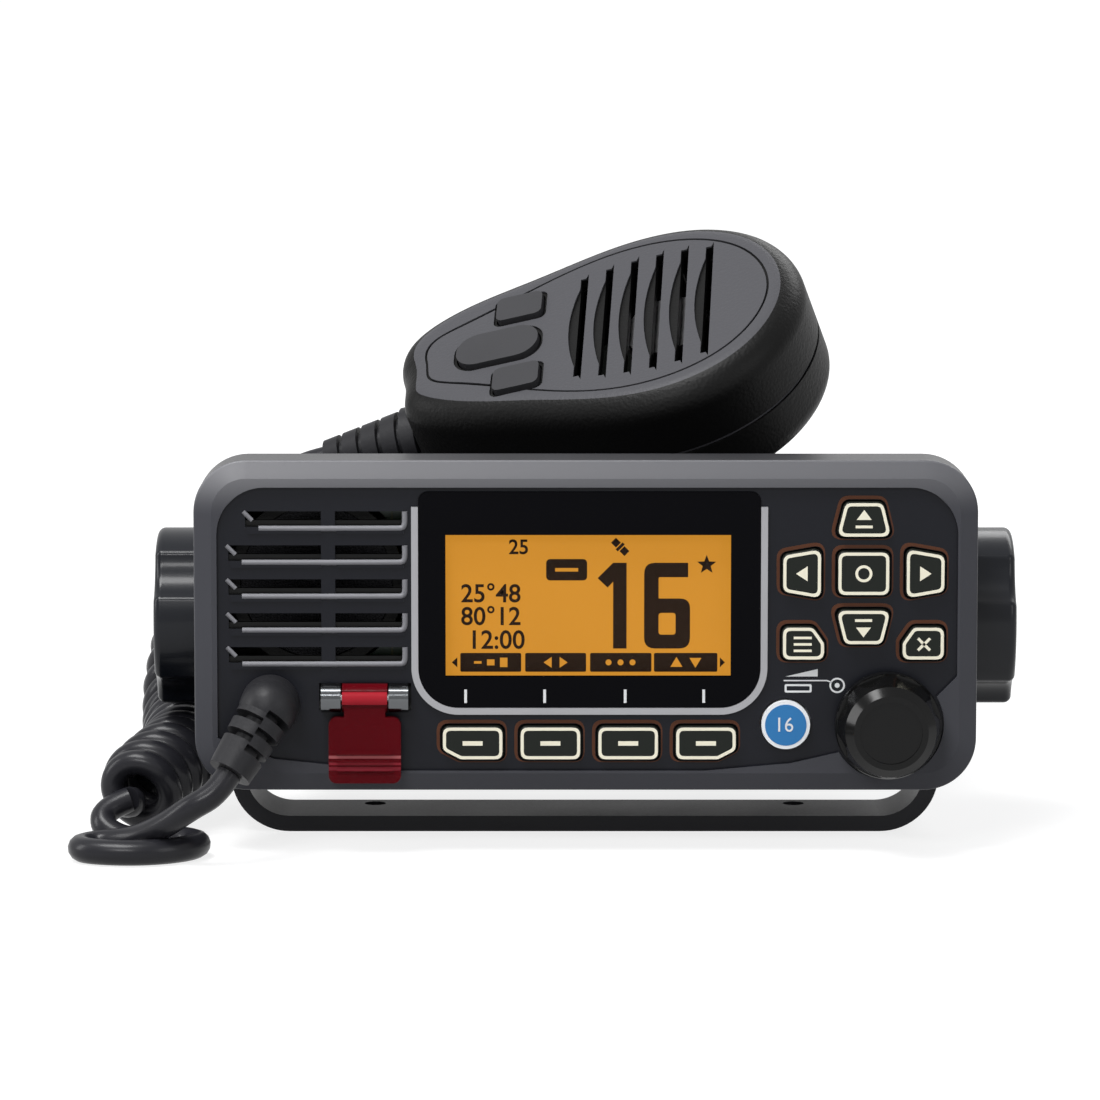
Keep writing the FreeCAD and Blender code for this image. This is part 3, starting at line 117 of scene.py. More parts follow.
# display: numerals as outlines, symbols as places and sizes, texts with their left end, base line
# and height
LCD_BORDER, LCD_PRINT_GAP = 2.5, 0.02
DIGIT_SHARE = 0.70
BIG_ONE = [(2.4, 9.3), (4.4, 7.4), (5.5, 8.6), (5.5, -4.9), (8.2, -4.9), (8.2, 12.4), (5.5, 12.4)]
BIG_SIX = [(11.7, -4.9), (20.9, -4.9), (20.9, 5.2), (14.6, 5.2), (14.6, 9.5), (20.5, 9.5),
           (20.5, 12.4), (11.7, 12.4)]
BIG_SIX_CORNERS = [2.2, 2.2, 2.0, 0.1, 0.3, 0.1, 0.1, 2.2]
BIG_SIX_EYE = (16.3, 0.1, 3.4, 4.4)
STAR = (24.2, 12.0, 2.0)
SATELLITE_X, SATELLITE_Z = 6.9, 15.6
SATELLITE_PARTS = [(-1.2, 0, 1.4, 1.4), (1.2, 0, 1.4, 1.4), (0, 0, 0.6, 2.0)]
STATE_X, STATE_Z = -3.8, 11.0
READINGS = [("25°48", -25.0, 4.5, 3.6), ("80°12", -25.0, -0.1, 3.6), ("12:00", -23.6, -4.9, 3.7),
            ("25", -15.4, 14.2, 2.9)]
LABELS = [(-25.1, -12.9), (-12.1, 0.1), (0.9, 13.2), (13.7, 26.4)]
LABEL_LOW, LABEL_HIGH = -9.6, -5.8
LABEL_Z = (LABEL_LOW + LABEL_HIGH) / 2
TICKS_X, TICKS_Z = (-24.0, -8.2, 7.9, 23.6), -14.1

# keys: places of the middle, pitch, width and height
SOFT_X, SOFT_PITCH, SOFT_W, SOFT_H, SOFT_Z = -22.6, 15.55, 12.4, 6.9, -23.5
NAV_X, NAV_Z, ENTER_W, ENTER_H = 55.4, 10.7, 10.6, 9.0
CALL_X, CALL_Z, CALL_R = 40.0, -19.8, 4.85
KEY_CORNER = 1.5

# depth of the prints on the sunk field, lift of one print over another, and speaker slots
FIELD_PRINT_DEPTH, OVER_PRINT = 1.0, 0.06
VOLUME_RING = (50.3, -12.0)
SLOT_TOP_Z, SLOT_PITCH, SLOT_COUNT = 22.1, 6.83, 5
SLOT_RIGHT, SLOT_LEFT, SLOT_LEFT_TOP = -36.3, -71.3, -67.9
LIP_DEPTH, LIP_RADIUS, SLANT_RADIUS = 0.95, 0.58, 0.46
TALK_BAR_EDGE = 1.0

# camera; distance in metres, elevation in degrees
AIM = Vector((-7.13, -37.5, 61.6)) * MM
CAMERA_DISTANCE = 1.1
CAMERA_ELEVATION = 7.0
CAMERA_LENS = 180.7

# floor: its size and shade, where its white begins to grow and is full, and both strengths
FLOOR_SIZE, FLOOR_SHADE = 30.0, 0.28
WHITE_NEAR, WHITE_FAR, WHITE_LOW, WHITE_FULL = 0.15, 1.2, 0.80, 1.0
SKY_COLOUR, SKY_STRENGTH = (0.9, 0.93, 1.0, 1.0), 0.22
# lamps: name, place, width and height in metres, power in watts
LAMPS = [("key_light", (-0.40, -0.40, 1.25), 0.7, 0.5, 20.0),
         ("gloss_light", (-0.35, -1.05, 0.68), 0.5, 0.16, 5.0),
         ("fill_light", (0.9, -0.9, 0.5), 0.5, 0.6, 2.5),
         ("side_light", (-1.2, -0.1, 0.5), 0.3, 0.7, 5.0),
         ("back_light", (0.5, 0.9, 0.9), 0.9, 0.5, 6.0)]


# ---- settings ----
def colour_setting(name, description, default):
    return bpy.props.FloatVectorProperty(name=name, description=description, default=default,
                                         subtype="COLOR", size=3, min=0.0, max=1.0)


def length_setting(name, description, millimetres):
    return bpy.props.FloatProperty(name=name, description=description, default=millimetres * MM, min=0.0,
                                   unit="LENGTH", precision=5)


class RadioColours(bpy.types.PropertyGroup):
    """Colours of the radio's finishes."""
    panel: colour_setting("Panel", "Painted border of the front panel", (0.047, 0.048, 0.056))
    # painted light: the top of the border is painted lighter, as if light from above falls on it
    panel_top_painted_light: colour_setting("Panel top", "Lighter top of the border", (0.170, 0.170, 0.180))
    # painted shade: the panel's sides are painted darker, as if out of the light
    panel_side_painted_shade: colour_setting("Panel sides", "Sides of the front panel", (0.026, 0.026, 0.029))
    field: colour_setting("Field", "Dark sunk field of the front panel", (0.0060, 0.0066, 0.0100))
    bracket: colour_setting("Bracket", "Moulded plastic of the mounting bracket", (0.022, 0.022, 0.025))
    handset: colour_setting("Handset", "Grained plastic of the microphone", (0.004, 0.004, 0.004))
    handset_face: colour_setting("Handset face", "Flat face of the microphone", (0.062, 0.062, 0.068))
    knob: colour_setting("Knobs", "Black plastic of the knobs", (0.003, 0.003, 0.003))
    backlight: colour_setting("Backlight", "Lit ground of the display", (0.620, 0.262, 0.024))
    segment: colour_setting("Segments", "Dark marks of the display", (0.016, 0.006, 0.001))
    cream: colour_setting("Key marks", "Outline and symbols of the keys", (0.860, 0.820, 0.660))
    key_face: colour_setting("Key faces", "Dark face inside a key's outline", (0.007, 0.009, 0.007))
    blue: colour_setting("Round key", "Blue face of the round key", (0.033, 0.180, 0.430))
    cover: colour_setting("Cover", "Red of the hinged cover", (0.092, 0.002, 0.005))
    cord: colour_setting("Cord", "Black jacket of the cord", (0.013, 0.013, 0.016))


class RadioSizes(bpy.types.PropertyGroup):
    """Sizes of what is laid over the frame."""
    cord_diameter: length_setting("Cord diameter", "Outside of the cord's jacket", 5.2)
    coil_radius: length_setting("Coil radius", "From the coil's middle line to the cord's middle", 6.7)
    coil_turns: bpy.props.FloatProperty(name="Coil turns", description="Turns of the curly cord",
                                        default=15.5, min=1.0)
    outline: length_setting("Key outline", "Width of the printed outline of a key", 0.62)
    print_thickness: length_setting("Print thickness", "Height of a printed mark over its surface", 0.05)


def colours():
    return bpy.context.scene.radio_colours


def sizes():
    return bpy.context.scene.radio_sizes


# ---- nodes and shader groups ----
FLOAT, COLOUR = "NodeSocketFloat", "NodeSocketColor"


def set_inputs(node, values):
    """Set a node's inputs by name."""
    for name, value in values.items():
        node.inputs[name].default_value = value


def feed(tree, socket, value):
    """Set an input to a number or colour, or link another node's output to it."""
    if isinstance(value, (int, float, tuple)):
        socket.default_value = value
    else:
        tree.links.new(value, socket)


def math_node(tree, operation, a, b=None):
    node = tree.nodes.new("ShaderNodeMath")
    node.operation = operation
    feed(tree, node.inputs[0], a)
    if b is not None:
        feed(tree, node.inputs[1], b)
    return node.outputs[0]


def product(tree, first, *others):
    """Values multiplied: for masks, one only where all of them are one."""
    for other in others:
        first = math_node(tree, "MULTIPLY", first, other)
    return first


def off_middle(tree, value, middle):
    """How far a value is from a middle."""
    return math_node(tree, "ABSOLUTE", math_node(tree, "SUBTRACT", value, middle))


def band(tree, value, low, high):
    """One where the value lies between two limits, nothing elsewhere."""
    return product(tree, math_node(tree, "GREATER_THAN", value, low),
                   math_node(tree, "LESS_THAN", value, high))


def noise_node(tree, coordinates, scale, detail):
    node = tree.nodes.new("ShaderNodeTexNoise")
    node.inputs["Detail"].default_value = detail
    tree.links.new(coordinates, node.inputs["Vector"])
    feed(tree, node.inputs["Scale"], scale)
    return node.outputs["Fac"]


def map_range(tree, value, kind, from_low, from_high, to_low, to_high):
    node = tree.nodes.new("ShaderNodeMapRange")
    node.interpolation_type = kind
    set_inputs(node, {"From Min": from_low, "From Max": from_high, "To Min": to_low, "To Max": to_high})
    tree.links.new(value, node.inputs["Value"])
    return node.outputs["Result"]


def object_place(tree):
    return tree.nodes.new("ShaderNodeTexCoord").outputs["Object"]


def object_axes(tree):
    """X, Y and Z of the place on the object, in metres."""
    split = tree.nodes.new("ShaderNodeSeparateXYZ")
    tree.links.new(object_place(tree), split.inputs[0])
    return split.outputs


def group_with(name, inputs, outputs):
    """Empty shader group with these sockets, and its two end nodes."""
    group = bpy.data.node_groups.new(name, "ShaderNodeTree")
    for label, kind in inputs:
        group.interface.new_socket(label, in_out="INPUT", socket_type=kind)
    for label, kind in outputs:
        group.interface.new_socket(label, in_out="OUTPUT", socket_type=kind)
    return group, group.nodes.new("NodeGroupInput"), group.nodes.new("NodeGroupOutput")


def run_group(tree, group, values):
    """Outputs of a shader group that runs with these inputs."""
    node = tree.nodes.new("ShaderNodeGroup")
    node.node_tree = group
    set_inputs(node, values)
    return node.outputs


def moulded_surface():
    """Fine moulded grain with slow changes of shade and gloss over a piece."""
    found = bpy.data.node_groups.get("moulded_surface")
    if found:
        return found
    group, given, out = group_with(
        "moulded_surface",
        [("Colour", COLOUR), ("Roughness", FLOAT), ("Grain", FLOAT), ("Shade", FLOAT), ("Gloss", FLOAT)],
        [("Colour", COLOUR), ("Roughness", FLOAT), ("Height", FLOAT)])
    place = object_place(group)
    slow = math_node(group, "SUBTRACT", noise_node(group, place, SLOW_NOISE, 3.0), 0.5)
    fine = noise_node(group, place, given.outputs["Grain"], 4.0)
    scale = group.nodes.new("ShaderNodeVectorMath")
    scale.operation = "SCALE"
    group.links.new(given.outputs["Colour"], scale.inputs[0])
    group.links.new(math_node(group, "ADD", product(group, slow, given.outputs["Shade"]), 1.0),
                    scale.inputs["Scale"])
    group.links.new(scale.outputs[0], out.inputs["Colour"])
    both = math_node(group, "ADD", slow, math_node(group, "SUBTRACT", fine, 0.5))
    change = product(group, both, given.outputs["Gloss"])
    group.links.new(math_node(group, "ADD", given.outputs["Roughness"], change), out.inputs["Roughness"])
    group.links.new(fine, out.inputs["Height"])
    return group


def leather_grain():
    """Small closed cells, as spark-eroded grain on a grip."""
    found = bpy.data.node_groups.get("leather_grain")
    if found:
        return found
    group, given, out = group_with("leather_grain", [("Cells", FLOAT)], [("Height", FLOAT)])
    place = object_place(group)
    cells = group.nodes.new("ShaderNodeTexVoronoi")
    cells.feature = "SMOOTH_F1"
    group.links.new(place, cells.inputs["Vector"])
    group.links.new(given.outputs["Cells"], cells.inputs["Scale"])
    rough = noise_node(group, place, LEATHER_FINE, 3.0)
    group.links.new(math_node(group, "ADD", cells.outputs["Distance"], product(group, rough, 0.5)),
                    out.inputs["Height"])
    return group


# ---- materials ----
FINISHES = {}


def nodes_of(material):
    """A material's node tree and its shader."""
    return material.node_tree, material.node_tree.nodes["Principled BSDF"]


def principled(name):
    """New material, kept as the finish of that name, with its node tree and its shader."""
    material = FINISHES[name] = bpy.data.materials.new(name)
    material.use_nodes = True
    return (material, *nodes_of(material))


def bump(tree, shader, height, depth):
    """Relief on a surface; depth in millimetres."""
    node = tree.nodes.new("ShaderNodeBump")
    node.inputs["Distance"].default_value = depth * MM
    tree.links.new(height, node.inputs["Height"])
    tree.links.new(node.outputs["Normal"], shader.inputs["Normal"])


def tinted(colour, share):
    return (*[part * share for part in colour], 1.0)


def masked(tree, colour, mask, paint):
    """Paint laid over a colour, or over another node's colour, as far as the mask says."""
    mix = tree.nodes.new("ShaderNodeMix")
    mix.data_type = "RGBA"
    tree.links.new(mask, mix.inputs["Factor"])
    feed(tree, mix.inputs["A"], colour)
    mix.inputs["B"].default_value = (*paint[:3], 1.0)
    return mix.outputs["Result"]


def paint_over(material, mask, paint):
    """Lay a paint over a moulded material's colour."""
    tree, shader = nodes_of(material)
    below = shader.inputs["Base Color"].links[0].from_socket
    tree.links.new(masked(tree, below, mask, paint), shader.inputs["Base Color"])


def moulded(name, colour, roughness, grain=1800.0, depth=0.02, shade=0.25, gloss=0.12, coat=0.0,
            metallic=0.0):
    """A moulded, cast or plated surface; grain in repeats a metre, its depth in millimetres."""
    material, tree, shader = principled(name)
    surface = run_group(tree, moulded_surface(), {"Colour": (*colour, 1.0), "Roughness": roughness,
                                                  "Grain": grain, "Shade": shade, "Gloss": gloss})
    tree.links.new(surface["Colour"], shader.inputs["Base Color"])
    tree.links.new(surface["Roughness"], shader.inputs["Roughness"])
    bump(tree, shader, surface["Height"], depth)
    set_inputs(shader, {"Metallic": metallic, "Specular IOR Level": 0.17, "Coat Weight": coat,
                        "Coat Roughness": 0.12})
    return material


def grained(name, colour, roughness):
    """Leather-grained plastic of the handset."""
    material = moulded(name, colour, roughness, depth=LEATHER_DEPTH)
    tree, _ = nodes_of(material)
    grain = run_group(tree, leather_grain(), {"Cells": LEATHER_CELLS})
    tree.links.new(grain["Height"], tree.nodes["Bump"].inputs["Height"])
    return material


def lit_ground(name, colour):
    """Backlit ground of the display, slightly uneven."""
    material, tree, shader = principled(name)
    cloud = noise_node(tree, object_place(tree), 30.0, 2.0)
    tree.links.new(masked(tree, tinted(colour, 0.94), cloud, tinted(colour, 1.06)),
                   shader.inputs["Emission Color"])
    set_inputs(shader, {"Base Color": tinted(colour, 0.25), "Emission Strength": 0.95,
                        "Roughness": 0.6, "Specular IOR Level": 0.2})
    return material


def window_pane(name):
    """Clear window over the lit area, black behind the rest of it."""
    material, tree, shader = principled(name)
    axes = object_axes(tree)
    low, high = lcd_area()
    lit = product(tree, band(tree, axes["X"], low.x, high.x), band(tree, axes["Z"], low.z, high.z))
    black = math_node(tree, "SUBTRACT", 1.0, lit)
    tree.links.new(math_node(tree, "MAXIMUM", black, 0.06), shader.inputs["Alpha"])
    haze = product(tree, noise_node(tree, object_place(tree), 60.0, 2.0), 0.05)
    tree.links.new(math_node(tree, "ADD", haze, 0.06), shader.inputs["Roughness"])
    set_inputs(shader, {"Base Color": (0.002, 0.002, 0.003, 1.0), "Specular IOR Level": 0.03})
    return material


def panel_paint(name, paint):
    """Border with painted light towards its top, painted shade on its sides, a darker sunk field, and painted
    black shade in the slots.
    """
    material = moulded(name, paint.panel, 0.34, grain=1500.0, depth=0.012, shade=0.12, gloss=0.10)
    tree, _ = nodes_of(material)
    axes = object_axes(tree)
    (x0, z0), (x1, z1) = FIELD_LOW, FIELD_HIGH
    across = off_middle(tree, axes["X"], (x0 + x1) / 2 * MM)
    along = off_middle(tree, axes["Z"], MIDDLE_Z + (z0 + z1) / 2 * MM)
    inside = product(tree, math_node(tree, "LESS_THAN", across, (x1 - x0) / 2 * MM),
                     math_node(tree, "LESS_THAN", along, (z1 - z0) / 2 * MM),
                     math_node(tree, "LESS_THAN", math_node(tree, "ADD", across, along),
                               ((x1 - x0 + z1 - z0) / 2 - FIELD_CUT) * MM))
    field, slot_shade, side = (math_node(tree, "GREATER_THAN", axes["Y"], FRONT_Y + depth * MM)
                           for depth in (FIELD_DEPTH, SLOT_SHADE_DEPTH, SHADED_SIDE_DEPTH))
    # painted light: lighter towards the top of the border, fading towards the right
    top = map_range(tree, axes["Z"], "SMOOTHSTEP", MIDDLE_Z + PAINTED_LIGHT_LOW * MM, MIDDLE_Z + PAINTED_LIGHT_HIGH * MM,
                    0.0, PAINTED_LIGHT_SHARE)
    fade = math_node(tree, "SUBTRACT", 1.0, product(tree, axes["X"], PAINTED_LIGHT_FADE))
    paint_over(material, product(tree, top, fade), paint.panel_top_painted_light)
    # painted shade: the panel's sides darker
    paint_over(material, side, paint.panel_side_painted_shade)
    paint_over(material, product(tree, inside, field), paint.field)
    # painted shade: black inside the slots, deeper than the sunk field
    paint_over(material, product(tree, inside, slot_shade), (0.001, 0.001, 0.001))
    return material


def handset_shell(name, colour, face):
    """Leather-grained shell with a lighter flat face."""
    material = grained(name, colour, 0.42)
    tree, shader = nodes_of(material)
    shader.inputs["Specular IOR Level"].default_value = 0.11
    dot = tree.nodes.new("ShaderNodeVectorMath")
    dot.operation = "DOT_PRODUCT"
    dot.inputs[1].default_value = HANDSET_WAY
    tree.links.new(object_place(tree), dot.inputs[0])
    level = HANDSET_MIDDLE.dot(HANDSET_WAY) + HANDSET_FACE
    paint_over(material, math_node(tree, "GREATER_THAN", dot.outputs["Value"], level), face)
    return material


def clear_red(name, colour):
    """Tinted clear plastic of the hinged cover, with painted highlights along its barrel and its ribs."""
    material = moulded(name, colour, 0.16, grain=500.0, depth=0.01, shade=0.5, gloss=0.05)
    tree, shader = nodes_of(material)
    set_inputs(shader, {"Alpha": 0.86, "Specular IOR Level": 0.05})
    height = object_axes(tree)["Z"]
    # painted highlights: lighter bands across the barrel and the ribs
    for low, high, paint in COVER_PAINTED_HIGHLIGHTS:
        paint_over(material, band(tree, height, COVER_TOP_Z - low * MM, COVER_TOP_Z - high * MM), paint)
    return material


def speaker_cloth(name):
    """Dark woven cloth in front of the speaker."""
    material, tree, shader = principled(name)
    place = object_place(tree)
    waves = []
    for direction in ("X", "Z"):
        wave = tree.nodes.new("ShaderNodeTexWave")
        wave.bands_direction = direction
        wave.inputs["Scale"].default_value = CLOTH_THREADS
        tree.links.new(place, wave.inputs["Vector"])
        waves.append(wave.outputs["Fac"])
    bump(tree, shader, product(tree, *waves), 0.1)
    set_inputs(shader, {"Base Color": (0.006, 0.006, 0.008, 1.0), "Roughness": 0.9})
    return material


def circuit_board(name):
    """Green solder mask over copper tracks."""
    material, tree, shader = principled(name)
    tracks = tree.nodes.new("ShaderNodeTexBrick")
    set_inputs(tracks, {"Scale": BOARD_TRACKS, "Color1": (0.002, 0.022, 0.009, 1.0),
                        "Color2": (0.003, 0.032, 0.013, 1.0), "Mortar": (0.040, 0.060, 0.020, 1.0)})
    tree.links.new(object_place(tree), tracks.inputs["Vector"])
    tree.links.new(tracks.outputs["Color"], shader.inputs["Base Color"])
    shader.inputs["Roughness"].default_value = 0.35
    bump(tree, shader, tracks.outputs["Fac"], 0.03)
    return material


def make_materials():
    """Make every finish of the radio."""
    paint = colours()
    panel_paint("panel_plastic", paint)
    moulded("bracket_plastic", paint.bracket, 0.42)
    moulded("washer_rubber", (0.010, 0.010, 0.010), 0.75)
    moulded("chassis_metal", (0.020, 0.020, 0.022), 0.55, grain=900.0, depth=0.05)
    moulded("seal_rubber", (0.008, 0.008, 0.008), 0.7)
    window_pane("window_glass")
    moulded("silver_trim", (0.330, 0.330, 0.345), 0.30, depth=0.0006, gloss=0.05, metallic=0.7)
    lit_ground("lcd_amber", paint.backlight)
    moulded("diffuser_plastic", (0.70, 0.68, 0.60), 0.5)
    moulded("steel", (0.45, 0.45, 0.46), 0.32, grain=700.0, depth=0.006, metallic=1.0)
    speaker_cloth("speaker_fabric")
    circuit_board("circuit_board")
    moulded("tinned_steel", (0.60, 0.60, 0.58), 0.38, metallic=1.0)
    moulded("boot_rubber", (0.015, 0.015, 0.017), 0.45, grain=1200.0, depth=0.05, gloss=0.2)
    moulded("socket_metal", (0.62, 0.58, 0.48), 0.28, depth=0.006, metallic=1.0)
    moulded("key_plastic", paint.key_face, 0.40, depth=0.01)
    moulded("blue_key", (0.80, 0.82, 0.84), 0.30, depth=0.006)
    moulded("knob_plastic", paint.knob, 0.17, depth=0.001, shade=0.1, gloss=0.03)
    clear_red("red_cover", paint.cover)
    moulded("cap_plastic", (0.11, 0.115, 0.12), 0.14, depth=0.0004, gloss=0.03, metallic=1.0)
    moulded("red_key", (0.42, 0.010, 0.014), 0.35, depth=0.01)
    moulded("clamp_plastic", (0.005, 0.006, 0.009), 0.30, depth=0.002, gloss=0.04, coat=0.14)
    handset_shell("mic_plastic", paint.handset, paint.handset_face)
    grained("ptt_rubber", (0.014, 0.014, 0.015), 0.55)
    moulded("mic_key_rubber", (0.036, 0.036, 0.039), 0.32, depth=0.01)
    moulded("seam_grey", (0.110, 0.110, 0.120), 0.35)
    moulded("cord_rubber", paint.cord, 0.32, grain=900.0, depth=0.006, gloss=0.05, coat=0.06)
    moulded("key_cream", paint.cream, 0.45, depth=0.004, shade=0.08)
    moulded("blue_face", paint.blue, 0.35, depth=0.006, shade=0.15)
    moulded("lcd_segment", paint.segment, 0.6, shade=0.1)
    moulded("white_print", (0.72, 0.73, 0.74), 0.5, depth=0.003, shade=0.06)
    # painted glow: orange brown standing in for backlight that leaks round the keys
    moulded("painted_backlight_glow", (0.085, 0.030, 0.014), 0.5, shade=0.3)
    # painted highlight: light grey standing in for the light caught on the lips' edges
    moulded("lip_painted_highlight", (0.190, 0.190, 0.205), 0.30, depth=0.003, shade=0.15)
    moulded("black_mask", (0.002, 0.003, 0.002), 0.5)
    moulded("black_steel", (0.004, 0.004, 0.004), 0.7)


FINISH_OF_NODE = {
    "mounting_bracket": "bracket_plastic", "bracket_washers": "washer_rubber", "front_panel": "panel_plastic",
    "rear_chassis": "chassis_metal", "panel_gasket": "seal_rubber", "display_window": "window_glass",
    "window_trim": "silver_trim", "lcd_module": "lcd_amber", "backlight_diffuser": "diffuser_plastic",
    "speaker_frame": "black_steel", "speaker_cone": "speaker_fabric", "key_mat": "seal_rubber",
    "key_switches": "tinned_steel", "front_board": "circuit_board", "main_board": "circuit_board",
    "rf_shield": "tinned_steel", "chassis_screws": "steel", "panel_boot": "boot_rubber",
    "antenna_socket": "socket_metal", "power_gland": "seal_rubber", "data_socket": "seal_rubber",
    "call_key": "blue_key", "volume_knob": "knob_plastic", "volume_shaft": "steel", "volume_plunger": "steel",
    "volume_encoder": "tinned_steel", "distress_cover": "red_cover", "cover_pin": "steel",
    "cover_caps": "cap_plastic", "distress_key": "red_key", "clamp_knob_left": "clamp_plastic",
    "clamp_knob_right": "clamp_plastic", "clamp_stud_left": "steel", "clamp_stud_right": "steel",
    "mic_front_shell": "mic_plastic", "mic_rear_shell": "mic_plastic", "mic_seal": "seam_grey",
    "mic_board": "black_mask", "mic_element": "steel", "mic_screws": "steel", "mic_hanger_stud": "steel",
    "mic_boot": "boot_rubber", "ptt_bar": "ptt_rubber", "mic_upper_key": "mic_key_rubber",
    "mic_lower_key": "mic_key_rubber", "mic_rocker": "mic_key_rubber", "cord_front_lead": "cord_rubber",
    "cord_coil": "cord_rubber", "cord_rear_lead": "cord_rubber",
}


def dress(piece, name):
    """Give a piece one finish."""
    piece.data.materials.clear()
    piece.data.materials.append(FINISHES[name])


def wear(piece, name):
    """Give a piece one finish."""
    dress(piece, name)


def placed(piece, name, body):
    """Give an added piece its finish, and the body that it moves with."""
    wear(piece, name)
    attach(piece, body)
    return piece


# ---- outlines ----
def at(x, y, z):
    return Vector((x, y, z)) * MM


def lcd_area():
    """Lowest and highest corner of the lit area, inside the module's frame."""
    low, high = (Vector(corner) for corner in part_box("lcd_module"))
    border = at(LCD_BORDER, 0, LCD_BORDER)
    return low + border, high - border


def rounded(points, radius):
    """Outline with its corners rounded; points are (x, z) in millimetres, radius may be a list."""
    out, steps = [], 5
    count = len(points)
    radii = radius if isinstance(radius, list) else [radius] * count
    for i, r in enumerate(radii):
        corner = Vector(points[i])
        before = Vector(points[i - 1]) - corner
        after = Vector(points[(i + 1) % count]) - corner
        half = before.angle(after) / 2
        cut = min(r / math.tan(half), 0.49 * before.length, 0.49 * after.length)
        start, end = corner + before.normalized() * cut, corner + after.normalized() * cut
        for step in range(steps + 1):
            t = step / steps
            out.append(tuple(start * (1 - t) ** 2 + corner * 2 * t * (1 - t) + end * t ** 2))
    return out


def rectangle(x, z, w, h):
    return [(x - w / 2, z - h / 2), (x + w / 2, z - h / 2), (x + w / 2, z + h / 2), (x - w / 2, z + h / 2)]


def circle(x, z, r, steps=40):
    return [(x + r * math.cos(2 * math.pi * i / steps), z + r * math.sin(2 * math.pi * i / steps))
            for i in range(steps)]


def star(x, z, r):
    points = []
    for i in range(10):
        reach = r if i % 2 == 0 else r * 0.42
        angle = math.pi / 2 + i * math.pi / 5
        points.append((x + reach * math.cos(angle), z + reach * math.sin(angle)))
    return points


def triangle(tip, base, half):
    """Triangle from its tip, the middle of its base, and half the base's width."""
    tip, base = Vector(tip), Vector(base)
    way = (tip - base).normalized() * half
    return [tuple(tip), (base.x - way.y, base.y + way.x), (base.x + way.y, base.y - way.x)]


def turned(points, x, z, degrees):
    """Outline turned about its own middle, then moved to a place."""
    a = math.radians(degrees)
    return [(x + px * math.cos(a) - pz * math.sin(a), z + px * math.sin(a) + pz * math.cos(a))
            for px, pz in points]


def shrunk(points, amount):
    """Outline moved inwards, corner by corner; points run counter-clockwise."""
    out = []
    count = len(points)
    for i in range(count):
        here = Vector(points[i])
        first = (here - Vector(points[i - 1])).normalized()
        second = (Vector(points[(i + 1) % count]) - here).normalized()
        n1, n2 = Vector((-first.y, first.x)), Vector((-second.y, second.x))
        out.append(tuple(here + (n1 + n2) * (amount / (1 + n1.dot(n2)))))
    return out


# ---- pieces ----
def keep_only(piece):
    """Make the piece the only selected object, and the active one."""
    bpy.ops.object.select_all(action="DESELECT")
    piece.select_set(True)
    bpy.context.view_layer.objects.active = piece


def as_mesh(piece):
    """Turn a curve or text into a mesh."""
    keep_only(piece)
    bpy.ops.object.convert(target="MESH")
    return bpy.context.object


def stand_up(piece, name, y):
    """Turn a flat curve or text to face the front, at a depth, as a thin print."""
    thickness = sizes().print_thickness
    piece.data.extrude = thickness / 2
    piece = as_mesh(piece)
    piece.rotation_euler = (math.pi / 2, 0, 0)
    piece.location = piece.location + Vector((0, y - thickness / 2, 0))
    bpy.ops.object.transform_apply(location=True, rotation=True, scale=True)
    piece.name = name
    return piece


def flat_shape(name, loops, y):
    """Thin raised print; loops are outlines in millimetres from the panel's middle."""
    data = bpy.data.curves.new(name, "CURVE")
    data.dimensions = "2D"
    data.fill_mode = "BOTH"
    for loop in loops:
        spline = data.splines.new("POLY")
        spline.points.add(len(loop) - 1)
        for point, (x, z) in zip(spline.points, loop):
            point.co = (x * MM, z * MM, 0, 1)
        spline.use_cyclic_u = True
    piece = bpy.data.objects.new(name, data)
    bpy.context.scene.collection.objects.link(piece)
    piece.location = (0, 0, MIDDLE_Z)
    return stand_up(piece, name, y)


def numerals(name, text, x, z, height, y, width, bold=0.0):
    """Plain numerals; x and z are the left end and the base line, in millimetres."""
    bpy.ops.object.text_add(location=(x * MM, 0, MIDDLE_Z + z * MM))
    piece = bpy.context.object
    piece.data.body = text
    piece.data.size = height * MM / DIGIT_SHARE
    piece.data.offset = bold * MM
    piece.data.resolution_u = 4
    piece.scale = (width, 1, 1)
    return stand_up(piece, name, y)


def joined(name, pieces):
    """One piece made of several."""
    keep_only(pieces[0])
    for piece in pieces[1:]:
        piece.select_set(True)
    bpy.ops.object.join()
    pieces[0].name = name
    return pieces[0]


def nurbs_line(name, points):
    """Smooth line with these control points, in metres."""
    data = bpy.data.curves.new(name, "CURVE")
    data.dimensions = "3D"
    spline = data.splines.new("NURBS")
    spline.points.add(len(points) - 1)
    for point, place in zip(spline.points, points):
        point.co = (*place, 1.0)
    spline.order_u = min(3, len(points))
    spline.use_endpoint_u = True
    spline.resolution_u = 8
    piece = bpy.data.objects.new(name, data)
    bpy.context.scene.collection.objects.link(piece)
    return piece


def line_points(line):
    """Points along a NURBS line that has no bevel."""
    bpy.context.view_layer.update()
    mesh = bpy.data.meshes.new_from_object(line)
    points = [vertex.co.copy() for vertex in mesh.vertices]
    bpy.data.meshes.remove(mesh)
    return points


def round_bar(line, radius, resolution):
    """Round bar along a line, as a smooth mesh."""
    line.data.bevel_depth = radius
    line.data.bevel_resolution = resolution
    line.data.use_fill_caps = True
    bar = as_mesh(line)
    bpy.ops.object.shade_smooth()
    return bar


# ---- cords ----
def along(points, count):
    """The same line as evenly spaced points."""
    steps = [(b - a).length for a, b in zip(points, points[1:])]
    spacing = sum(steps) / (count - 1)
    out, i, passed = [points[0]], 0, 0.0
    for k in range(1, count - 1):
        target = k * spacing
        while i < len(steps) - 1 and passed + steps[i] < target:
            passed += steps[i]
            i += 1
        out.append(points[i].lerp(points[i + 1], (target - passed) / steps[i]))
    out.append(points[-1])
    return out


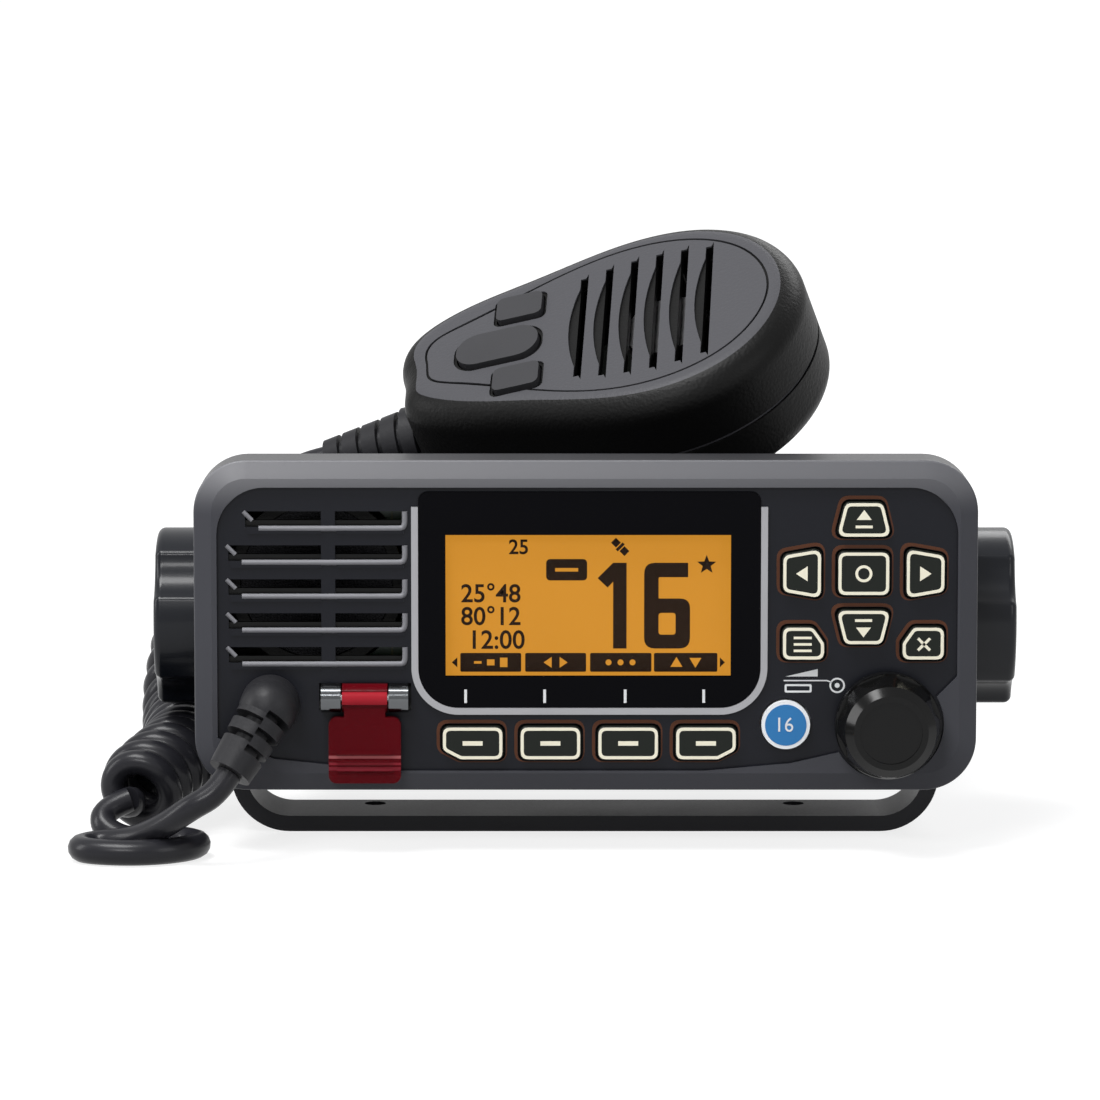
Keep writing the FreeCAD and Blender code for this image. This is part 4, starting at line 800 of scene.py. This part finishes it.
def coil_points(points, radius, turns):
    """Helix round a line, drawn in to the line at both ends."""
    count = int(turns * COIL_STEPS) + 1
    run_in = COIL_RUN_IN * COIL_STEPS
    middle = along(points, count)
    side = Vector((1, 0, 0))
    out = []
    for i, place in enumerate(middle):
        way = (middle[min(i + 1, count - 1)] - middle[max(i - 1, 0)]).normalized()
        side = (side - way * side.dot(way)).normalized()
        other = way.cross(side)
        ramp = min(1.0, i / run_in, (count - 1 - i) / run_in)
        reach = radius * ramp * ramp * (3 - 2 * ramp)
        angle = 2 * math.pi * i / COIL_STEPS
        out.append(place + side * (reach * math.cos(angle)) + other * (reach * math.sin(angle)))
    return out


class VHF_OT_cords(bpy.types.Operator):
    """Lay the curly cord and its two plain leads."""
    bl_idname = "vhf.cords"
    bl_label = "Cords"

    def execute(self, context):
        front = [at(*point) for point in FRONT_LEAD_ROUTE]
        rear = [at(*point) for point in REAR_LEAD_ROUTE]
        guide = nurbs_line("coil_guide", [at(*point) for point in COIL_ROUTE])
        guide_points = line_points(guide)
        bpy.data.objects.remove(guide)
        helix = coil_points(guide_points, sizes().coil_radius, sizes().coil_turns)
        self.lay("front_lead", front, "cord_front_lead", "bracket", "radio", front[4], front[0])
        self.lay("curly_cord", helix, "cord_coil", "bracket", "radio", at(*COIL_START), guide_points[-1])
        self.lay("rear_lead", rear, "cord_rear_lead", "radio", "handset", rear[-1], rear[0])
        return {"FINISHED"}

    def lay(self, name, points, node, first, second, start, end):
        """Lay one length of cord along its points; the first and second body are not used."""
        wide = sizes().cord_diameter
        line = nurbs_line(name, points)
        path = line_points(line)
        tube = round_bar(line, wide / 2, 5)
        wear(tube, "cord_rubber")
        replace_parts(tube, node)
        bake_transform(tube)


# ---- finishes of the frame ----
class VHF_OT_finishes(bpy.types.Operator):
    """Give every piece of the frame its finish."""
    bl_idname = "vhf.finishes"
    bl_label = "Finishes"

    def execute(self, context):
        for name, piece in NODES.items():
            dress(piece, FINISH_OF_NODE.get(name, "key_plastic"))
        return {"FINISHED"}


# ---- display ----
class VHF_OT_display(bpy.types.Operator):
    """Draw the numerals and symbols of the display, and the ticks under it."""
    bl_idname = "vhf.display"
    bl_label = "Display picture"

    def execute(self, context):
        y = LCD_FRONT_Y - LCD_PRINT_GAP * MM
        shapes = {"one": [BIG_ONE],
                  "six": [rounded(BIG_SIX, BIG_SIX_CORNERS), rounded(rectangle(*BIG_SIX_EYE), 0.6)],
                  "star": [star(*STAR)],
                  "state": [rounded(rectangle(STATE_X, STATE_Z, 8.2, 4.3), 0.9)],
                  "before": [triangle((-26.8, LABEL_Z), (-25.7, LABEL_Z), 1.0)],
                  "after": [triangle((27.9, LABEL_Z), (26.9, LABEL_Z), 1.0)]}
        marks = [flat_shape(name, loops, y) for name, loops in shapes.items()]
        for box in SATELLITE_PARTS:
            part = turned(rectangle(*box), SATELLITE_X, SATELLITE_Z, -45)
            marks.append(flat_shape("satellite", [part], y))
        for x0, x1 in LABELS:
            chip = rectangle((x0 + x1) / 2, LABEL_Z, x1 - x0, LABEL_HIGH - LABEL_LOW)
            marks.append(flat_shape("chip", [rounded(chip, 0.35)], y))
        for text, x, z, height in READINGS:
            marks.append(numerals("text", text, x, z, height, y, width=0.98, bold=0.07))
        placed(joined("display_marks", marks), "lcd_segment", "radio")
        self.label_symbols(y - OVER_PRINT * MM)
        ticks = [flat_shape("tick", [rectangle(x, TICKS_Z, 0.55, 2.7)], WINDOW_FRONT_Y) for x in TICKS_X]
        placed(joined("window_ticks", ticks), "white_print", "radio")
        return {"FINISHED"}

    def label_symbols(self, y):
        """Light symbols on the dark labels: bars, arrows, dots and a dash."""
        z = LABEL_Z
        loops = [rectangle(-21.6 + 2.6 * k, z, 1.5, 0.5 + 0.7 * k) for k in range(3)]
        loops += [triangle((-6.0 + side * 2.4, z), (-6.0 + side * 0.8, z), 1.1) for side in (-1, 1)]
        loops += [circle(7.0 + 2.4 * k, z, 0.6, 16) for k in (-1, 0, 1)]
        loops += [triangle((18.2, z + 1.1), (18.2, z - 0.9), 1.2),
                  triangle((22.0, z - 1.1), (22.0, z + 0.9), 1.2),
                  rectangle(STATE_X, STATE_Z, 4.6, 0.7)]
        marks = [flat_shape("symbol", [loop], y) for loop in loops]
        placed(joined("label_symbols", marks), "lcd_amber", "radio")


# ---- key outlines and symbols ----
def key_outlines():
    """Plan outline of every flat key, as the frame has it, and its symbols."""
    keys = {}
    slant_x, slant_z = SOFT_W * 0.3, SOFT_H * 0.28
    for i in range(4):
        x = SOFT_X + i * SOFT_PITCH
        points = rectangle(x, SOFT_Z, SOFT_W, SOFT_H)
        (x0, z0), (x1, _) = points[:2]
        if i == 0:
            points = [(x0, z0 + slant_z), (x0 + slant_x, z0)] + points[1:]
        if i == 3:
            points = points[:1] + [(x1 - slant_x, z0), (x1, z0 + slant_z)] + points[2:]
        keys["soft_key_%d" % (i + 1)] = (points, [[rectangle(x, SOFT_Z, 4.0, 0.9)]])
    half_w, half_h, step, arrow = ENTER_W / 2, ENTER_H / 2, 2.7, 7.2
    enter = rectangle(NAV_X, NAV_Z, ENTER_W, ENTER_H)
    keys["enter_key"] = (enter, [[circle(NAV_X, NAV_Z, 1.7), circle(NAV_X, NAV_Z, 1.15)]])
    up_key = [(-half_w - 0.4, half_h + step), (half_w + 0.4, half_h + step),
              (half_w - 1.4, half_h + step + arrow), (1.4 - half_w, half_h + step + arrow)]
    top, low = NAV_Z + half_h + step, NAV_Z - half_h - step
    keys["channel_up_key"] = ([(NAV_X + x, NAV_Z + z) for x, z in up_key],
                              [[triangle((NAV_X, top + 5.6), (NAV_X, top + 3.6), 1.5)],
                               [rectangle(NAV_X, top + 2.2, 3.4, 0.55)]])
    keys["channel_down_key"] = ([(NAV_X + x, NAV_Z - z) for x, z in reversed(up_key)],
                                [[triangle((NAV_X, low - 5.6), (NAV_X, low - 3.6), 1.5)],
                                 [rectangle(NAV_X, low - 2.2, 3.4, 0.55)]])
    inner, outer = half_w + step + 0.3, half_w + step + 8.3
    left = [(-outer, -half_h + 0.7), (-inner, -half_h - 0.7), (-inner, half_h + 0.7), (-outer, half_h - 0.7)]
    left_x, right_x = NAV_X - (inner + outer) / 2, NAV_X + (inner + outer) / 2
    keys["left_key"] = ([(NAV_X + x, NAV_Z + z) for x, z in left],
                        [[triangle((left_x - 1.2, NAV_Z), (left_x + 1.1, NAV_Z), 1.5)]])
    keys["right_key"] = ([(NAV_X - x, NAV_Z + z) for x, z in reversed(left)],
                         [[triangle((right_x + 1.2, NAV_Z), (right_x - 1.1, NAV_Z), 1.5)]])
    low = NAV_Z - half_h - 13.0
    menu = [(-outer, 0.0), (-inner + 0.7, 0.0), (-inner + 0.7, 3.6), (-inner - 1.6, 6.9), (-outer, 6.9)]
    bars = [[rectangle(left_x + 0.2, low + 3.3 + 1.3 * k, 3.6, 0.5)] for k in (-1, 0, 1)]
    keys["menu_key"] = ([(NAV_X + x, low + z) for x, z in menu], bars)
    cross = [[turned(rectangle(0, 0, 3.4, 0.56), right_x - 0.2, low + 3.3, angle)] for angle in (45, -45)]
    keys["clear_key"] = ([(NAV_X - x, low + z) for x, z in reversed(menu)], cross)
    return keys


class VHF_OT_key_marks(bpy.types.Operator):
    """Print the outlines and symbols of the keys."""
    bl_idname = "vhf.key_marks"
    bl_label = "Key marks"

    def execute(self, context):
        y = KEY_FRONT_Y
        line = sizes().outline / MM
        for key, (outline, symbols) in key_outlines().items():
            edge = shrunk(outline, 0.25)
            inner = rounded(shrunk(edge, line), KEY_CORNER - 0.5)
            parts = [flat_shape("ring", [rounded(edge, KEY_CORNER), inner], y)]
            parts += [flat_shape("mark", loops, y) for loops in symbols]
            placed(joined(key + "_marks", parts), "key_cream", key + "_body")
        disc = flat_shape("round_key_face", [circle(CALL_X, CALL_Z, CALL_R - 0.7, 64)], y)
        placed(disc, "blue_face", "call_key_body")
        number = numerals("round_key_number", "16", CALL_X - 2.3, CALL_Z - 1.3, 2.9, y - OVER_PRINT * MM,
                          width=0.95)
        placed(number, "white_print", "call_key_body")
        return {"FINISHED"}


class VHF_OT_panel_marks(bpy.types.Operator):
    """Print the marks beside the volume knob and the painted glow of the backlight round the keys."""
    bl_idname = "vhf.panel_marks"
    bl_label = "Panel marks"

    def execute(self, context):
        y = FRONT_Y + FIELD_PRINT_DEPTH * MM
        pointer = [(39.6, -11.15), (48.2, -11.15), (49.2, -11.5), (49.3, -11.3), (48.3, -10.9), (39.6, -10.9)]
        shapes = {"ring": [circle(*VOLUME_RING, 1.55, 32), circle(*VOLUME_RING, 1.2, 32)],
                  "dot": [circle(*VOLUME_RING, 0.5, 16)],
                  "line": [pointer],
                  "wedge": [[(40.0, -10.2), (46.4, -10.2), (46.4, -8.7)]],
                  "plate": [rounded(rectangle(42.5, -12.6, 5.4, 1.7), 0.4),
                            rounded(rectangle(42.5, -12.6, 4.6, 0.9), 0.2)]}
        parts = [flat_shape(name, loops, y) for name, loops in shapes.items()]
        placed(joined("volume_marks", parts), "white_print", "radio")
        # painted glow: a ring round each key, shifted up and to the left, stands in for leaking backlight
        painted_glow_rings = []
        for outline, _ in key_outlines().values():
            outer = rounded(shrunk(outline, -0.85), KEY_CORNER + 0.8)
            inner = rounded(shrunk(outline, -0.40), KEY_CORNER + 0.4)
            painted_glow_rings.append(flat_shape("glow", [[(x - 0.18, z + 0.25) for x, z in outer], inner], y))
        placed(joined("painted_glow_edges", painted_glow_rings), "painted_backlight_glow", "radio")
        return {"FINISHED"}


class VHF_OT_slot_lips(bpy.types.Operator):
    """Run a rounded lip under every speaker slot, with a short slanted end, light grey as a painted
    highlight.
    """
    bl_idname = "vhf.slot_lips"
    bl_label = "Speaker lips"

    def execute(self, context):
        lips = []
        for i in range(SLOT_COUNT):
            z = SLOT_TOP_Z - i * SLOT_PITCH
            left = SLOT_LEFT_TOP if i == 0 else SLOT_LEFT
            under = z - 2.5
            lips.append(self.bead([(left + 2.7, under), (SLOT_RIGHT - 1.4, under),
                                   (SLOT_RIGHT - 0.1, under + 0.1), (SLOT_RIGHT + 0.3, under + 1.2),
                                   (SLOT_RIGHT + 0.2, z + 0.9)], LIP_RADIUS))
            lips.append(self.bead([(left - 0.4, z + 0.9), (left + 1.4, z - 0.9)], SLANT_RADIUS))
        # painted highlight: the beads' light grey stands in for light on the lips' edges
        placed(joined("speaker_slot_lip_highlights", lips), "lip_painted_highlight", "radio")
        return {"FINISHED"}

    def bead(self, points, radius):
        """Round bead half sunk in the field."""
        y = FRONT_Y + LIP_DEPTH * MM
        line = nurbs_line("bead", [Vector((x * MM, y, MIDDLE_Z + z * MM)) for x, z in points])
        return round_bar(line, radius * MM, 3)


class VHF_OT_talk_bar(bpy.types.Operator):
    """Round the edges of the talk bar, as on a moulded rubber pad."""
    bl_idname = "vhf.talk_bar"
    bl_label = "Talk bar"

    def execute(self, context):
        bar = NODES["ptt_bar"].copy()
        bar.data = NODES["ptt_bar"].data.copy()
        bar.name = "talk_bar_pad"
        context.scene.collection.objects.link(bar)
        keep_only(bar)
        bpy.ops.object.mode_set(mode="EDIT")
        bpy.ops.mesh.select_all(action="SELECT")
        bpy.ops.mesh.remove_doubles(threshold=0.01 * MM)
        bpy.ops.mesh.dissolve_limited(angle_limit=math.radians(1.0))
        bpy.ops.object.mode_set(mode="OBJECT")
        soft = bar.modifiers.new("soft_edges", "BEVEL")
        soft.width = TALK_BAR_EDGE * MM
        soft.segments = 3
        soft.angle_limit = math.radians(45)
        bpy.ops.object.modifier_apply(modifier=soft.name)
        bpy.ops.object.shade_smooth_by_angle(angle=math.radians(40))
        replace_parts(placed(bar, "ptt_rubber", "ptt"), "ptt_bar")
        return {"FINISHED"}


# ---- stage ----
def background_seen(tree):
    """One for the rays that show the background: to the camera, through glass and off gloss."""
    path = tree.nodes.new("ShaderNodeLightPath")
    seen = math_node(tree, "MAXIMUM", path.outputs["Is Camera Ray"], path.outputs["Is Transmission Ray"])
    return math_node(tree, "MAXIMUM", seen, path.outputs["Is Glossy Ray"])


def floor_paint(name):
    """Grey floor that is seen as white, with the shadow kept near the object."""
    material, tree, shader = principled(name)
    place = tree.nodes.new("ShaderNodeVectorMath")
    place.operation = "LENGTH"
    tree.links.new(object_place(tree), place.inputs[0])
    spread = map_range(tree, place.outputs["Value"], "LINEAR", WHITE_NEAR, WHITE_FAR, WHITE_LOW, WHITE_FULL)
    set_inputs(shader, {"Base Color": (FLOOR_SHADE, FLOOR_SHADE, FLOOR_SHADE, 1.0), "Roughness": 0.9,
                        "Specular IOR Level": 0.0, "Emission Color": (1.0, 1.0, 1.0, 1.0)})
    tree.links.new(product(tree, background_seen(tree), spread), shader.inputs["Emission Strength"])
    return material


def soft_lamp(name, place, width, height, power):
    bpy.ops.object.light_add(type="AREA", location=place)
    lamp = bpy.context.object
    lamp.name = name
    lamp.data.shape = "RECTANGLE"
    lamp.data.size = width
    lamp.data.size_y = height
    lamp.data.energy = power
    lamp.rotation_euler = (AIM - Vector(place)).to_track_quat("-Z", "Y").to_euler()


class VHF_OT_stage(bpy.types.Operator):
    """Set the camera, the floor and the studio light."""
    bl_idname = "vhf.stage"
    bl_label = "Stage"

    def execute(self, context):
        scene = context.scene
        tilt = math.radians(CAMERA_ELEVATION)
        look = Vector((0, math.cos(tilt), -math.sin(tilt)))
        place = AIM - look * CAMERA_DISTANCE
        bpy.ops.object.camera_add(location=place, rotation=look.to_track_quat("-Z", "Y").to_euler())
        camera = context.object
        camera.data.lens = CAMERA_LENS
        camera.data.sensor_width = 36.0
        camera.data.clip_end = 100.0
        scene.camera = camera
        bpy.ops.mesh.primitive_plane_add(size=FLOOR_SIZE, location=(0, 0, 0))
        floor = context.object
        floor.name = "studio_floor"
        floor.data.materials.append(floor_paint("studio_floor"))
        for lamp in LAMPS:
            soft_lamp(*lamp)
        self.sky(scene)
        scene.view_settings.view_transform = "Standard"
        return {"FINISHED"}

    def sky(self, scene):
        """White where it is seen, soft grey as light."""
        world = bpy.data.worlds.new("studio_sky")
        scene.world = world
        world.use_nodes = True
        tree = world.node_tree
        light = tree.nodes["Background"]
        set_inputs(light, {"Color": SKY_COLOUR, "Strength": SKY_STRENGTH})
        white = tree.nodes.new("ShaderNodeBackground")
        white.inputs["Strength"].default_value = 1.0
        mix = tree.nodes.new("ShaderNodeMixShader")
        tree.links.new(background_seen(tree), mix.inputs[0])
        tree.links.new(light.outputs[0], mix.inputs[1])
        tree.links.new(white.outputs[0], mix.inputs[2])
        tree.links.new(mix.outputs[0], tree.nodes["World Output"].inputs["Surface"])


# ---- registration ----
OPERATORS = [VHF_OT_cords, VHF_OT_finishes, VHF_OT_display, VHF_OT_key_marks, VHF_OT_panel_marks,
             VHF_OT_slot_lips, VHF_OT_talk_bar, VHF_OT_stage]


class VHF_PT_radio(bpy.types.Panel):
    """Lists the steps that finish the radio."""
    bl_label = "Marine radio"
    bl_idname = "VHF_PT_radio"
    bl_space_type = "VIEW_3D"
    bl_region_type = "UI"
    bl_category = "Radio"

    def draw(self, context):
        for group in (context.scene.radio_colours, context.scene.radio_sizes):
            for name in group.bl_rna.properties.keys():
                if name not in ("rna_type", "name"):
                    self.layout.prop(group, name)
        for operator in OPERATORS:
            self.layout.operator(operator.bl_idname)


CLASSES = [RadioColours, RadioSizes] + OPERATORS + [VHF_PT_radio]


def register():
    for item in CLASSES:
        bpy.utils.register_class(item)
    bpy.types.Scene.radio_colours = bpy.props.PointerProperty(type=RadioColours)
    bpy.types.Scene.radio_sizes = bpy.props.PointerProperty(type=RadioSizes)


def unregister():
    del bpy.types.Scene.radio_sizes
    del bpy.types.Scene.radio_colours
    for item in reversed(CLASSES):
        bpy.utils.unregister_class(item)


def main():
    register()
    make_materials()
    bpy.ops.vhf.stage()
    bpy.ops.vhf.cords()
    bpy.ops.vhf.finishes()
    bpy.ops.vhf.display()
    bpy.ops.vhf.key_marks()
    bpy.ops.vhf.panel_marks()
    bpy.ops.vhf.slot_lips()
    bpy.ops.vhf.talk_bar()


if __name__ == "__main__":
    main()
